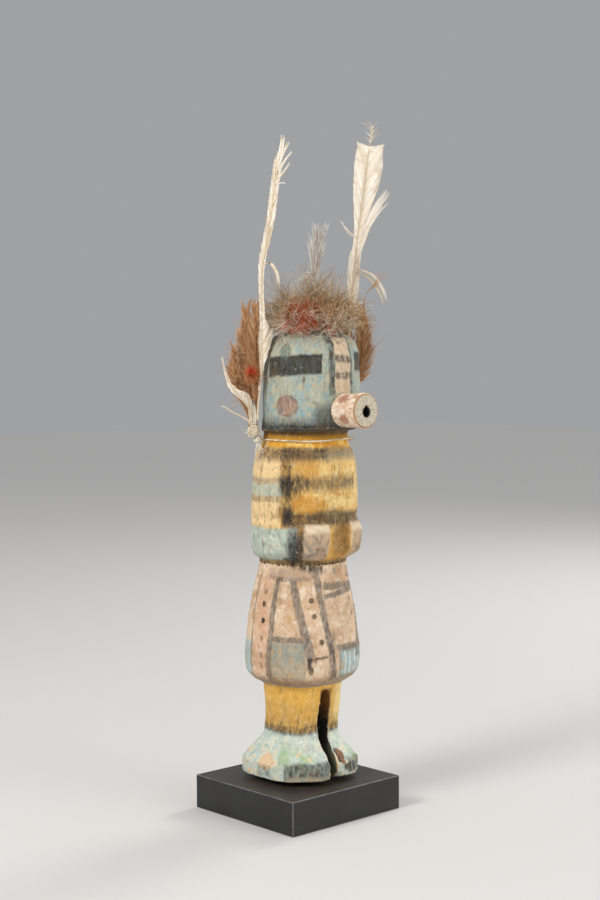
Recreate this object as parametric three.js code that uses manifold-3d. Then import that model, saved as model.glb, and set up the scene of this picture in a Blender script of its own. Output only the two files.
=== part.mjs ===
// Kachina doll: one carved and painted cottonwood figure with a pegged snout, real feathers tied to
// a cotton neck string, and the small black block that it stands on.
// Millimetres, +Z up. The origin is the centre of the block's underside. The doll faces -Y, so its
// right hand is on the -X side. Angles round the figure are in degrees: 0 is the front, + is its left.

import * as THREE from 'three';
import { mergeVertices } from 'three/addons/utils/BufferGeometryUtils.js';
import Module from 'manifold-3d';

const wasm = await Module();
wasm.setup();

// Driving dimensions
const blockSide = 80;
const blockHeight = 18.6;
const blockEdge = 0.5; // bevel on the block's edges
const gap = 0.3; // between pieces that touch
const standing = blockHeight + gap; // the figure's heights are counted from here
const aroundFigure = 48; // facets round the figure
const neckHeight = 187.2; // of the string, above the block
const stringRadius = 0.5;
const snoutHeight = 203;
const snoutRadius = 9.6;
const snoutReach = 42.5; // from the head's axis to the snout's end
const knotAngle = 46; // of the string's knot, from the front

const { degToRad, lerp, smoothstep } = THREE.MathUtils;
const point = (x, y, z) => new THREE.Vector3(x, y, z);
const at = (x, y, height) => point(x, y, standing + height); // heights are above the block

// ---------------------------------------------------------------- solids

// A closed geometry as a manifold solid, with shared vertices merged and flat triangles dropped.
function solidOf(geometry) {
  geometry.deleteAttribute('normal');
  geometry.deleteAttribute('uv');
  const merged = mergeVertices(geometry, 1e-3);
  const corners = merged.index.array;
  const triangles = [];
  for (let i = 0; i < corners.length; i += 3) {
    const [a, b, c] = [corners[i], corners[i + 1], corners[i + 2]];
    if (a !== b && b !== c && c !== a) triangles.push(a, b, c);
  }
  return new wasm.Manifold(new wasm.Mesh({
    numProp: 3,
    vertProperties: merged.attributes.position.array,
    triVerts: new Uint32Array(triangles),
  }));
}

function namedMesh(name, solid, color, roughness) {
  const { vertProperties, triVerts } = solid.getMesh();
  const geometry = new THREE.BufferGeometry();
  geometry.setAttribute('position', new THREE.BufferAttribute(vertProperties, 3));
  geometry.setIndex(new THREE.BufferAttribute(triVerts, 1));
  geometry.computeVertexNormals();
  const mesh = new THREE.Mesh(geometry, new THREE.MeshStandardMaterial({ color, roughness }));
  mesh.name = name;
  return mesh;
}

// A lathe of unit radius, stood up on Z, whose every point is then placed by
// place(angle in degrees, row height, 0 at the axis or 1 at the skin).
function sculpt(rows, segments, place) {
  const profile = [
    new THREE.Vector2(0, rows[0]),
    ...rows.map((row) => new THREE.Vector2(1, row)),
    new THREE.Vector2(0, rows.at(-1)),
  ];
  const geometry = new THREE.LatheGeometry(profile, segments);
  const position = geometry.attributes.position;
  for (let i = 0; i < position.count; i += 1) {
    const [x, row, z] = [position.getX(i), position.getY(i), position.getZ(i)];
    const angle = THREE.MathUtils.radToDeg(Math.atan2(x, z));
    position.setXYZ(i, ...place(angle, row, Math.hypot(x, z)));
  }
  return solidOf(geometry);
}

// A slender solid along a curve: a vane, a tuft or a quill. Its width lies along `flat`, which is
// a direction across the curve, and size(t) gives [half width, half thickness] from root to tip.
function blade(points, flat, size, { sides = 6, rings = 10 } = {}) {
  const curve = new THREE.CatmullRomCurve3(points);
  const rows = Array.from({ length: rings + 1 }, (_, i) => i / rings);
  return sculpt(rows, sides, (angle, t, skin) => {
    const along = curve.getTangentAt(t);
    const across = flat.clone().addScaledVector(along, -flat.dot(along)).normalize();
    const outward = across.clone().cross(along);
    const [width, thickness] = size(t);
    return curve.getPointAt(t)
      .addScaledVector(across, skin * width * Math.sin(degToRad(angle)))
      .addScaledVector(outward, skin * thickness * Math.cos(degToRad(angle)))
      .toArray();
  });
}

// ---------------------------------------------------------------- the carved figure

// Sections of the figure from the sole up: [height, half width, half depth, squareness].
// Squareness is a superellipse's exponent: 2 is an ellipse, 4 is a block with round corners.
const soleAndFeet = [
  [0, 17.6, 18, 3], [2.2, 23, 23.4, 3.5], [5.6, 26.6, 27.2, 3.9], [9.5, 26.9, 27.4, 3.9],
  [14.3, 24.8, 25.3, 3.7],
  [19, 21.9, 21.7, 3.2], [24, 19.2, 18.5, 2.8],
];
const legs = [[31, 19, 17.9, 2.6], [42, 20, 18.8, 2.5], [52.5, 20.8, 19.7, 2.5]];
const kilt = [
  [54, 22.6, 21.6, 2.5], [56.5, 26.6, 25.6, 2.5], [60, 29.4, 28.3, 2.5], [66, 30.1, 29, 2.5],
  [73, 30.1, 28.9, 2.5], [83, 29.2, 28, 2.45], [94, 28, 26.6, 2.4], [104, 26.3, 24.9, 2.35],
  [113, 24.4, 23.2, 2.3], [119.5, 23.5, 22.6, 2.2],
];
const torso = [
  [121.2, 24.6, 23.7, 2.2], [124, 27, 25.7, 2.2], [127, 28.1, 26.6, 2.2], [133, 28.7, 27.2, 2.2],
  [141, 29, 27.4, 2.2], [150, 29, 27.4, 2.2], [160, 28.9, 27.3, 2.2], [169, 28.6, 27, 2.15],
  [176, 27.7, 26.3, 2.1], [180.5, 26.4, 25.1, 2.05], [183.5, 24.7, 23.7, 2],
];
const neck = [[184.6, 23.7, 22.7, 2], [190.8, 23.6, 22.6, 2]];
const head = [
  [191.4, 25.4, 24.2, 2.05], [193.4, 26.7, 25.4, 2.08], [200, 26.9, 25.6, 2.1],
  [213, 26.8, 25.4, 2.1], [226, 26.4, 25, 2.1], [234, 25.8, 24.4, 2.1], [238.5, 24.3, 23.1, 2.1],
  [242.3, 21.5, 20.4, 2.1], [245, 16.4, 15.4, 2], [246.6, 8.5, 8, 2],
];
const sections = [...soleAndFeet, ...legs, ...kilt, ...torso, ...neck, ...head];

// The doll leans a little forwards and to its left: the axis at each height as [height, x, y].
const lean = [
  [0, 1, -1.1], [19, 1, -1.2], [42, 1.8, -2.9], [104, 1.9, -2.6], [141, 2.4, -4.5],
  [184, 2.7, -5.1], [190.8, 2.8, -5.6], [194, 3.5, -9.4], [247, 3.7, -10.1],
];

// Straight interpolation in a table whose rows start with the height.
function sampled(table, height) {
  const found = table.findIndex(([start]) => start >= height);
  const above = found < 0 ? table.length - 1 : Math.max(1, found);
  const [from, to] = [table[above - 1], table[above]];
  const t = THREE.MathUtils.clamp((height - from[0]) / (to[0] - from[0]), 0, 1);
  return from.slice(1).map((value, i) => lerp(value, to[i + 1], t));
}

// 1 between the limits, falling to 0 over `soft` on either side.
const band = (value, low, high, soft) =>
  smoothstep(value, low - soft, low) * (1 - smoothstep(value, high, high + soft));

// Carved relief on the torso, in mm outwards: arms laid along the sides, forearms bent across
// the belly, and hands that stop short of each other.
const handAngles = [15, 42];
const wristAngle = 49;
const armGrooveAngle = 61;
const elbowAngle = 108;
const forearmHeights = [126, 139.5];
function armRelief(angle, height) {
  const side = Math.abs(angle);
  const forearm = band(height, ...forearmHeights, 3.2);
  const hand = 3.1 * band(side, ...handAngles, 2.5) * forearm;
  const lowerArm = 2 * band(side, wristAngle, elbowAngle - 22, 18) * forearm;
  const upperArm = band(side, armGrooveAngle + 7, elbowAngle, 9) * band(height, 146, 172, 8);
  const groove = -0.9 * band(side, armGrooveAngle, armGrooveAngle + 1, 5) * band(height, 146, 176, 4);
  const belly = -1.2 * (1 - smoothstep(side, 12, 16)) * band(height, 125, 138, 3);
  return Math.max(hand, lowerArm) + upperArm + groove + belly;
}

// The skin of the figure at an angle and height, `grown` outwards by a clearance.
function figureSkin(angle, height, skin = 1, grown = 0) {
  const [width, depth, squareness] = sampled(sections, height);
  const [centreX, centreY] = sampled(lean, height);
  const [sine, cosine] = [Math.sin(degToRad(angle)), Math.cos(degToRad(angle))];
  const across = (Math.abs(sine) / width) ** squareness + (Math.abs(cosine) / depth) ** squareness;
  const radius = skin * (across ** (-1 / squareness) + armRelief(angle, height) + grown);
  return [centreX + radius * sine, centreY - radius * cosine, standing + height];
}

function figureBody() {
  const armRows = [129.5, 138.5, 144.5];
  const rows = [...sections.map(([height]) => height), ...armRows].sort((a, b) => a - b);
  return sculpt(rows, aroundFigure, (angle, height, skin) => figureSkin(angle, height, skin));
}

// The sawn slit that parts the two legs and feet, from front to back: [height, half width].
function legSlit() {
  const halfWidths = [[-2, 2.6], [9, 2.7], [24, 3], [34, 4], [46, 3.6]];
  const archHeight = 50.5;
  const side = halfWidths.map(([height, width]) => new THREE.Vector2(width, height));
  const shape = new THREE.Shape(side);
  shape.absarc(0, archHeight - 3, 3.2, 0, Math.PI, false);
  [...halfWidths].reverse().forEach(([height, width]) => shape.lineTo(-width, height));
  const slab = new THREE.ExtrudeGeometry(shape, { depth: 80, bevelEnabled: false, curveSegments: 6 });
  const [centreX] = sampled(lean, 0);
  slab.rotateX(Math.PI / 2).translate(centreX + 0.2, 40, standing);
  return solidOf(slab);
}

// ---------------------------------------------------------------- the snout

// A pegged length of branch: a slightly flared round with a rolled rim and the branch's own
// teardrop pith hole. Its root is cut to the curve of the face.
function snout() {
  const rim = 1.1;
  const [axisX, axisY] = sampled(lean, snoutHeight);
  const profile = [
    [0, 12], [snoutRadius - 0.9, 12], [snoutRadius - 0.5, snoutReach - 9],
    [snoutRadius, snoutReach - 2.4], [snoutRadius, snoutReach - rim],
    [snoutRadius - rim, snoutReach], [0, snoutReach],
  ].map(([radius, reach]) => new THREE.Vector2(radius, reach));
  const round = new THREE.LatheGeometry(profile, 24);
  round.rotateX(Math.PI).translate(axisX, axisY, standing + snoutHeight);

  const drop = new THREE.Shape();
  drop.absarc(0, -1, 2.1, Math.PI, 2 * Math.PI, false);
  drop.quadraticCurveTo(1.6, 2, 0.3, 3.3);
  drop.quadraticCurveTo(-1.2, 2.2, -2.1, -1);
  const hole = new THREE.ExtrudeGeometry(drop, { depth: 14, bevelEnabled: false, curveSegments: 5 });
  hole.rotateX(Math.PI / 2).translate(axisX, axisY - snoutReach + 11, standing + snoutHeight);

  const faceRows = head.map(([height]) => height);
  const face = sculpt(faceRows, aroundFigure, (angle, height, skin) =>
    figureSkin(angle, height, skin, gap));
  return solidOf(round).subtract(face).subtract(solidOf(hole));
}

// ---------------------------------------------------------------- feathers

// The tie on the doll's right holds its feathers' quills side by side, as [x, y]; the tie on its
// left holds the mirror image of them.
const quillRadius = 0.6;
const quills = {
  plume: [-26.4, 1],
  inner: [-25.8, 3.1],
  back: [-26.5, 5.4],
  outer: [-28.5, 5.6],
  curl: [-28.1, 3.6],
  bare: [-30.1, 3.8],
};
const quillFoot = 190.6; // height of the quills' cut ends, inside the tie
const socketRadius = quillRadius + gap + 0.15; // round each quill, with room for its first bend
const tieTop = 197.5;
function onSide(side, [x, y], height) {
  const [centreX] = sampled(lean, neckHeight);
  return at(side < 0 ? x : 2 * centreX - x, y, height);
}

// A feather that rises from its place in the tie on one side and goes on through `route`.
const viewAcross = new THREE.Vector3(0.74, -0.67, 0); // the vanes lie broadside to this side view
function feather(side, quill, route, width, thickness, options) {
  const root = [onSide(side, quills[quill], quillFoot), onSide(side, quills[quill], tieTop)];
  return blade([...root, ...route], viewAcross, (t) => [width(t), Math.min(width(t), thickness)], options);
}

// Half width along a feather: a bare quill up to `bare`, the widest stretch, and the tip.
const vane = (widest, bare, closing, tip = 0.35) => (t) =>
  quillRadius + (widest - quillRadius) * smoothstep(t, bare, bare + 0.22)
    * (1 - (1 - tip) * smoothstep(t, closing, 1));
const barb = (points, width) =>
  blade(points, viewAcross, (t) => [lerp(width, 0.3, t), 0.3], { rings: 5 });

// The doll's right tall plume: narrow, with a broader tuft left at its root and one stray barb.
function rightPlume() {
  const tall = feather(-1, 'plume', [
    at(-25.4, -2.2, 229), at(-24.8, -1.6, 255), at(-24, -1, 278), at(-20.9, -3.9, 303),
    at(-17.5, -7, 333), at(-15.1, -9.2, 349.6),
  ], vane(2.5, 0.35, 0.93), 0.6, { rings: 14 });
  const tuft = blade([at(-25.6, -2, 229), at(-25.4, -2, 240), at(-24.9, -1.7, 255)],
    viewAcross, (t) => [lerp(2.7, 0.8, t), 0.7], { rings: 3 });
  return tall.add(tuft).add(barb([
    at(-24.2, -0.8, 280.5), at(-21.6, -3.9, 282.5), at(-19.2, -6.8, 278), at(-18.2, -7.7, 268.6),
  ], 0.8));
}

// The doll's left tall plume: a broad vane at the tip, most of it stripped below, a long barb that
// has split off, a short one and a curled one.
function leftPlume() {
  const route = [
    at(37.9, -4.9, 249), at(38.3, -8, 280), at(39.4, -9.7, 298), at(41.7, -11.8, 319),
    at(43.4, -13.4, 338), at(45.8, -15.5, 360),
  ];
  const shaft = feather(1, 'plume', [at(35.8, -1.6, 225), ...route], () => quillRadius, quillRadius,
    { rings: 9 });
  const stripped = blade([at(38.1, -6.8, 257), ...route.slice(1, 2), at(39.2, -9.4, 294)],
    viewAcross, (t) => [lerp(2.4, 3.6, t) * (1 - 0.6 * smoothstep(t, 0.8, 1)), 0.5], { rings: 4 });
  const broadWidth = (t) => lerp(1.9, 9.3, Math.min(1, t / 0.6)) * (1 - 0.5 * smoothstep(t, 0.84, 1));
  const broad = blade(route.slice(2), viewAcross, (t) => [broadWidth(t), 0.5], { rings: 7 });
  const split = blade([
    at(39.4, -9.8, 292), at(42.5, -13.2, 304.7), at(46.1, -16.6, 315.5), at(51.8, -21.7, 324.3),
  ], viewAcross, (t) => [0.5 + 1.1 * Math.sin(Math.PI * t), 0.4], { rings: 5 });
  const short = barb([at(39.3, -9.6, 297.5), at(34.7, -6.1, 302.7), at(31.4, -3.7, 308)], 0.7);
  const curled = barb([
    at(38.6, -9, 281.5), at(46, -16.5, 276.3), at(49.2, -19.4, 269.6), at(51.5, -21.5, 261.2),
  ], 0.9);
  return shaft.add(stripped).add(broad).add(split).add(short).add(curled);
}

// Soft brown feathers with loose, fluffy vanes.
const downy = (side, quill, route, width) =>
  feather(side, quill, route, vane(width, 0.2, 0.62, 0.12), 0.9, { rings: 10 });

// The white curved feather and the stripped quill that stick out behind the doll's right ear.
const whiteCurl = () => feather(-1, 'curl', [
  at(-29.9, 3.6, 204), at(-34.7, 4.7, 210), at(-39.1, 6.1, 215.3), at(-43.1, 7, 222.8),
  at(-45.5, 7.2, 231.6),
], vane(1.9, 0.18, 0.75, 0.2), 0.4, { rings: 10 });
const bareQuill = () => feather(-1, 'bare', [
  at(-32, 5, 199.2), at(-37.2, 7, 201.9), at(-44, 9.1, 206.1),
], () => 0.5, 0.5, { rings: 8 });

// ---------------------------------------------------------------- crest

// A shock of down glued on the crown: a pad with tufts that stand out of it all round, in turns of
// the golden angle, and make a dome.
const crestTop = 281;
const crestReach = 27;
function crestTuft() {
  const pad = sculpt([243.4, 247, 250.5, 253], 20, (angle, height, skin) => {
    const [centreX, centreY] = sampled(lean, height);
    const radius = skin * lerp(22.5, 12, smoothstep(height, 244, 253));
    const turn = degToRad(angle);
    return at(centreX + radius * Math.sin(turn), centreY - radius * Math.cos(turn), height).toArray();
  });
  const tuftCount = 18;
  const goldenAngle = Math.PI * (3 - Math.sqrt(5));
  const [crownX, crownY] = sampled(lean, 247);
  let crest = pad;
  for (let i = 0; i < tuftCount; i += 1) {
    const share = Math.sqrt((i + 3.4) / (tuftCount + 3));
    const turn = i * goldenAngle;
    const out = point(Math.sin(turn), -Math.cos(turn), 0);
    const height = lerp(247, crestTop, Math.sqrt(1 - 0.86 * share ** 2)) - 3 * (i % 3);
    const root = at(crownX, crownY, 246.5).addScaledVector(out, share * 17);
    const bend = at(crownX, crownY, lerp(247, height, 0.55)).addScaledVector(out, share * 20.5);
    const tip = at(crownX, crownY, height).addScaledVector(out, share * crestReach);
    const side = point(-out.y, out.x, 0);
    crest = crest.add(blade([root, bend, tip], side,
      (t) => [lerp(4.2, 0.6, t ** 1.4), lerp(3.4, 0.6, t ** 1.4)], { sides: 4, rings: 2 }));
  }
  const crownRows = head.slice(3).map(([height]) => height);
  const crown = sculpt(crownRows, aroundFigure, (angle, height, skin) =>
    figureSkin(angle, height, skin, gap).map((value, axis) => value + (axis === 2 ? gap : 0)));
  return crest.subtract(crown).subtract(crestFeather(gap));
}

// The one grey feather that stands up out of the crest.
function crestFeather(grown = 0) {
  const foot = 247.4 - grown;
  const [crownX, crownY] = sampled(lean, 247);
  const width = vane(3.2, 0.44, 0.8, 0.3);
  return blade([
    at(crownX + 1.8, crownY + 1, foot), at(crownX + 2.1, crownY + 0.4, 264),
    at(crownX + 2.8, crownY - 1, 285), at(crownX + 4.6, crownY - 2.9, 303),
  ], viewAcross, (t) => [width(t) + grown, Math.min(width(t), 0.5) + grown], { rings: 8 });
}

// ---------------------------------------------------------------- ties

// The cotton string, laid round the neck, with a burr of a knot at the doll's left front.
function neckString() {
  const ringRadius = 10;
  const loop = new THREE.TorusGeometry(ringRadius, stringRadius, 5, 40);
  const position = loop.attributes.position;
  for (let i = 0; i < position.count; i += 1) {
    const [x, y, z] = [position.getX(i), position.getY(i), position.getZ(i)];
    const angle = THREE.MathUtils.radToDeg(Math.atan2(x, -y));
    const clear = gap + 0.1 + stringRadius + (Math.hypot(x, y) - ringRadius);
    const [skinX, skinY, skinZ] = figureSkin(angle, neckHeight, 1, clear);
    position.setXYZ(i, skinX, skinY, skinZ + z);
  }
  const knotRadius = 1.5;
  const knot = figureSkin(knotAngle, neckHeight, 1, gap + 0.1 + knotRadius);
  const burr = new THREE.IcosahedronGeometry(knotRadius, 0).translate(...knot);
  return solidOf(loop).add(solidOf(burr));
}

// The tie that binds one side's quills: two fat cotton knots one under the other, and a tail.
function tie(side, names) {
  const knot = (centre, radius, tall) => {
    const ball = new THREE.SphereGeometry(1, 8, 5).rotateX(Math.PI / 2).scale(radius, radius, tall);
    return solidOf(ball.translate(centre.x, centre.y, centre.z));
  };
  const upper = knot(onSide(side, [-27.5, 3.5], 192.2), 4.7, 4.3);
  const lower = knot(onSide(side, [-24.6, 3.1], 188), 2.9, 2.8);
  const tail = blade(
    [onSide(side, [-24.8, 3], 187), onSide(side, [-25.6, 2.2], 183), onSide(side, [-25.4, 1], 178.6)],
    viewAcross, (t) => [lerp(0.9, 0.4, t), lerp(0.9, 0.4, t)], { rings: 4 },
  );
  const both = upper.add(lower).add(tail);
  return names.reduce((bound, name) => {
    const socket = [quillFoot - gap, tieTop + gap, tieTop + 4].map((height) =>
      onSide(side, quills[name], height));
    return bound.subtract(blade(socket, viewAcross, () => [socketRadius, socketRadius],
      { rings: 1 }));
  }, both);
}

// ---------------------------------------------------------------- the block

function block() {
  const half = blockSide / 2 - blockEdge;
  const outline = new THREE.Shape([
    new THREE.Vector2(-half, -half), new THREE.Vector2(half, -half),
    new THREE.Vector2(half, half), new THREE.Vector2(-half, half),
  ]);
  const slab = new THREE.ExtrudeGeometry(outline, {
    depth: blockHeight - 2 * blockEdge,
    bevelThickness: blockEdge,
    bevelSize: blockEdge,
    bevelSegments: 1,
  });
  return solidOf(slab.translate(0, 0, blockEdge));
}

// ---------------------------------------------------------------- assembly

const paint = { turquoise: '#8fa9a2', ochre: '#c39b45', cream: '#cfb5a0' };
const white = '#e6dfd3';
const brown = '#8a5a3c';

const group = new THREE.Group();
group.add(
  namedMesh('plinth', block(), '#1b1b1c', 0.55),
  namedMesh('figure', figureBody().subtract(legSlit()), paint.ochre, 0.85),
  namedMesh('snout', snout(), paint.cream, 0.85),
  namedMesh('neck_string', neckString(), white, 0.9),
  namedMesh('tie_right', tie(-1, Object.keys(quills)), white, 0.9),
  namedMesh('tie_left', tie(1, ['plume', 'outer', 'back']), white, 0.9),
  namedMesh('tall_plume_right', rightPlume(), white, 0.7),
  namedMesh('tall_plume_left', leftPlume(), white, 0.7),
  namedMesh('down_feather_right_inner', downy(-1, 'inner', [
    at(-26, 2.4, 230), at(-26, 2.4, 263),
  ], 4.2), brown, 0.8),
  namedMesh('down_feather_right_back', downy(-1, 'back', [
    at(-27, 8, 232), at(-27.5, 8.6, 260.6),
  ], 5.2), brown, 0.8),
  namedMesh('down_feather_right_outer', downy(-1, 'outer', [
    at(-32.8, 11.2, 222), at(-33.4, 11.8, 239),
  ], 2.4), brown, 0.8),
  namedMesh('down_feather_left_outer', downy(1, 'outer', [
    at(43.4, -6.8, 226), at(44.6, -8.2, 246), at(43.9, -7.5, 262),
  ], 4.4), brown, 0.8),
  namedMesh('down_feather_left_back', downy(1, 'back', [
    at(38.2, 1.8, 228), at(42.2, 0.2, 256),
  ], 4.4), brown, 0.8),
  namedMesh('white_curl_feather_right', whiteCurl(), white, 0.7),
  namedMesh('bare_quill_right', bareQuill(), white, 0.7),
  namedMesh('crest_tuft', crestTuft(), brown, 0.85),
  namedMesh('crest_feather', crestFeather(), '#9a928a', 0.8),
);

export default group;
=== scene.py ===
"""A carved and painted kachina doll with real feathers, on its small black block, dressed over the
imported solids. Metres, +Z up, the doll faces -Y; angles round it count from its front, + to its left."""

import math
import random

import bmesh
import bpy
import numpy as np
from mathutils import Matrix, Vector, noise
from mathutils.bvhtree import BVHTree


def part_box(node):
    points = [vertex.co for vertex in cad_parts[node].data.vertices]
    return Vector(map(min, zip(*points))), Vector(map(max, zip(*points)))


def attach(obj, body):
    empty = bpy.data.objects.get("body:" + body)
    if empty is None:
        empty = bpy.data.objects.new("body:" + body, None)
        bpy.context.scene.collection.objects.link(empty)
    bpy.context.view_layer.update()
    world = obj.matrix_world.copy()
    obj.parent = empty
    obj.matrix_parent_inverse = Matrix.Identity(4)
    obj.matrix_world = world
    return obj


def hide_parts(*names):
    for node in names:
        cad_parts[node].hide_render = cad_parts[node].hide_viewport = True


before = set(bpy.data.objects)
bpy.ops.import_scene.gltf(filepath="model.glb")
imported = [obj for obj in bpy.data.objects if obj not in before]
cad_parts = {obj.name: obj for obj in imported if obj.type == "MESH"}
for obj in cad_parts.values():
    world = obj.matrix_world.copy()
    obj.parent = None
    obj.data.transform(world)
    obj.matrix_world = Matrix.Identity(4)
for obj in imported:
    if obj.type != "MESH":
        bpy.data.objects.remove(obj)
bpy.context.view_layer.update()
mm = 0.001

# ------------------------------------------------------------------------------ studio
# A pale paper floor that fades into the room, a soft lamp high on the camera's left, a weaker one
# on its right, a rim lamp behind and an even light from overhead. The camera looks slightly down
# from the doll's right front.

stage_floor_mesh = bpy.data.meshes.new("floor")
floor_bm = bmesh.new()
bmesh.ops.create_grid(floor_bm, x_segments=1, y_segments=1, size=4.0)
floor_bm.to_mesh(stage_floor_mesh)
floor_bm.free()
floor = bpy.data.objects.new("floor", stage_floor_mesh)
bpy.context.scene.collection.objects.link(floor)
floor_paper = bpy.data.materials.new("floor paper")
floor_paper.use_nodes = True
paper = floor_paper.node_tree.nodes["Principled BSDF"].inputs
paper["Base Color"].default_value = (0.62, 0.61, 0.60, 1)
paper["Roughness"].default_value = 0.9
floor.data.materials.append(floor_paper)

room = bpy.data.worlds.new("room")
room.use_nodes = True
air = room.node_tree.nodes["Background"].inputs
air["Color"].default_value = (0.93, 0.94, 0.96, 1)
air["Strength"].default_value = 0.38
bpy.context.scene.world = room

view_azimuth = math.radians(-42.57)
view_down = math.radians(3.245)
aim_height = 0.18
camera_back = Vector((math.sin(view_azimuth), -math.cos(view_azimuth), 0))
camera_right = Vector((math.cos(view_azimuth), math.sin(view_azimuth), 0))


def studio_lamp(name, side, height, distance, size, power, tint):
    lamp = bpy.data.objects.new(name, bpy.data.lights.new(name, "AREA"))
    lamp.data.shape = "DISK"
    lamp.data.size = size
    lamp.data.energy = power
    lamp.data.color = tint
    lamp.location = camera_right * side + camera_back * distance + Vector((0, 0, height))
    lamp.rotation_euler = (Vector((0, 0, aim_height)) - lamp.location).to_track_quat("-Z", "Y").to_euler()
    bpy.context.scene.collection.objects.link(lamp)


studio_lamp("key lamp", -0.75, 0.85, 0.75, 0.42, 10.2, (1.0, 0.97, 0.93))
studio_lamp("fill lamp", 1.1, 0.45, 0.7, 0.9, 7.6, (1.0, 0.98, 0.95))
studio_lamp("rim lamp", 0.8, 0.9, -0.9, 0.5, 8, (1.0, 0.97, 0.93))

sky = bpy.data.objects.new("soft overhead", bpy.data.lights.new("soft overhead", "SUN"))
sky.data.energy = 0.75
sky.data.angle = math.radians(100)
sky.rotation_euler = (math.radians(18), math.radians(-14), 0)
bpy.context.scene.collection.objects.link(sky)

camera = bpy.data.objects.new("camera", bpy.data.cameras.new("camera"))
camera.data.sensor_width = 36
camera.data.lens = 64
camera.data.clip_start = 0.05
camera.location = camera_back * 0.8784 + camera_right * 0.00266 + Vector((0, 0, 0.2493))
look = -camera_back * math.cos(view_down) - Vector((0, 0, 1)) * math.sin(view_down)
roll = Matrix.Rotation(math.radians(-0.4), 3, "Z")
camera.rotation_euler = (look.to_track_quat("-Z", "Y").to_matrix() @ roll).to_euler()
bpy.context.scene.collection.objects.link(camera)
bpy.context.scene.camera = camera
bpy.context.scene.view_settings.view_transform = "Standard"

# ------------------------------------------------------------------------------ the block
# A square of black-painted wood with barely eased edges. Its satin paint is dusty on top, under and
# round the doll's feet, and paler along the edges, partly rubbed and partly a painted highlight.

block_low, block_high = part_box("plinth")
block_top = block_high[2]
edge_ease = 0.55 * mm


def finished(bm, name, material, *nodes, smooth=True):
    """A piece made of this bmesh, riding with the doll, that stands for the named solids."""
    mesh = bpy.data.meshes.new(name)
    bm.to_mesh(mesh)
    bm.free()
    return dressed(mesh, name, material, *nodes, smooth=smooth)


def dressed(mesh, name, material, *nodes, smooth=True):
    piece = bpy.data.objects.new(name, mesh)
    bpy.context.scene.collection.objects.link(piece)
    mesh.materials.clear()
    mesh.materials.append(material)
    for face in mesh.polygons:
        face.use_smooth = smooth
    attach(piece, "root")
    if nodes:
        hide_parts(*nodes)
    return piece


class Field:
    """A number that varies over a surface. Arithmetic on it adds the nodes that work it out."""

    def __init__(self, tree, socket):
        self.tree = tree
        self.socket = socket

    def worked(self, operation, *values, clamp=False):
        node = self.tree.nodes.new("ShaderNodeMath")
        node.operation = operation
        node.use_clamp = clamp
        for socket, value in zip(node.inputs, values):
            if isinstance(value, Field):
                self.tree.links.new(value.socket, socket)
            else:
                socket.default_value = value
        return Field(self.tree, node.outputs[0])

    def __add__(self, other):
        return self.worked("ADD", self, other)

    def __sub__(self, other):
        return self.worked("SUBTRACT", self, other)

    def __rsub__(self, other):
        return self.worked("SUBTRACT", other, self)

    def __mul__(self, other):
        return self.worked("MULTIPLY", self, other)

    def __truediv__(self, other):
        return self.worked("DIVIDE", self, other)

    def __or__(self, other):
        return self.worked("MAXIMUM", self, other)

    def __abs__(self):
        return self.worked("ABSOLUTE", self)

    def squared(self):
        return self.worked("POWER", self, 2)

    def root(self):
        return self.worked("SQRT", self)

    def scaled(self, factor, offset):
        return self.worked("MULTIPLY_ADD", self, factor, offset)

    def step(self, low, high):
        """0 below low and 1 above high; or 1 below and 0 above, where low is the larger."""
        node = self.tree.nodes.new("ShaderNodeMapRange")
        node.interpolation_type = "SMOOTHSTEP"
        self.tree.links.new(self.socket, node.inputs["Value"])
        node.inputs["From Min"].default_value = min(low, high)
        node.inputs["From Max"].default_value = max(low, high)
        node.inputs["To Min"].default_value = 1.0 if low > high else 0.0
        node.inputs["To Max"].default_value = 0.0 if low > high else 1.0
        return Field(self.tree, node.outputs["Result"])


def rgb(hexed):
    """Linear colour of a paint named as on a colour card."""
    channels = [int(hexed[i:i + 2], 16) / 255 for i in (1, 3, 5)]
    return (*[c / 12.92 if c <= 0.04045 else ((c + 0.055) / 1.055) ** 2.4 for c in channels], 1)


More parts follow.
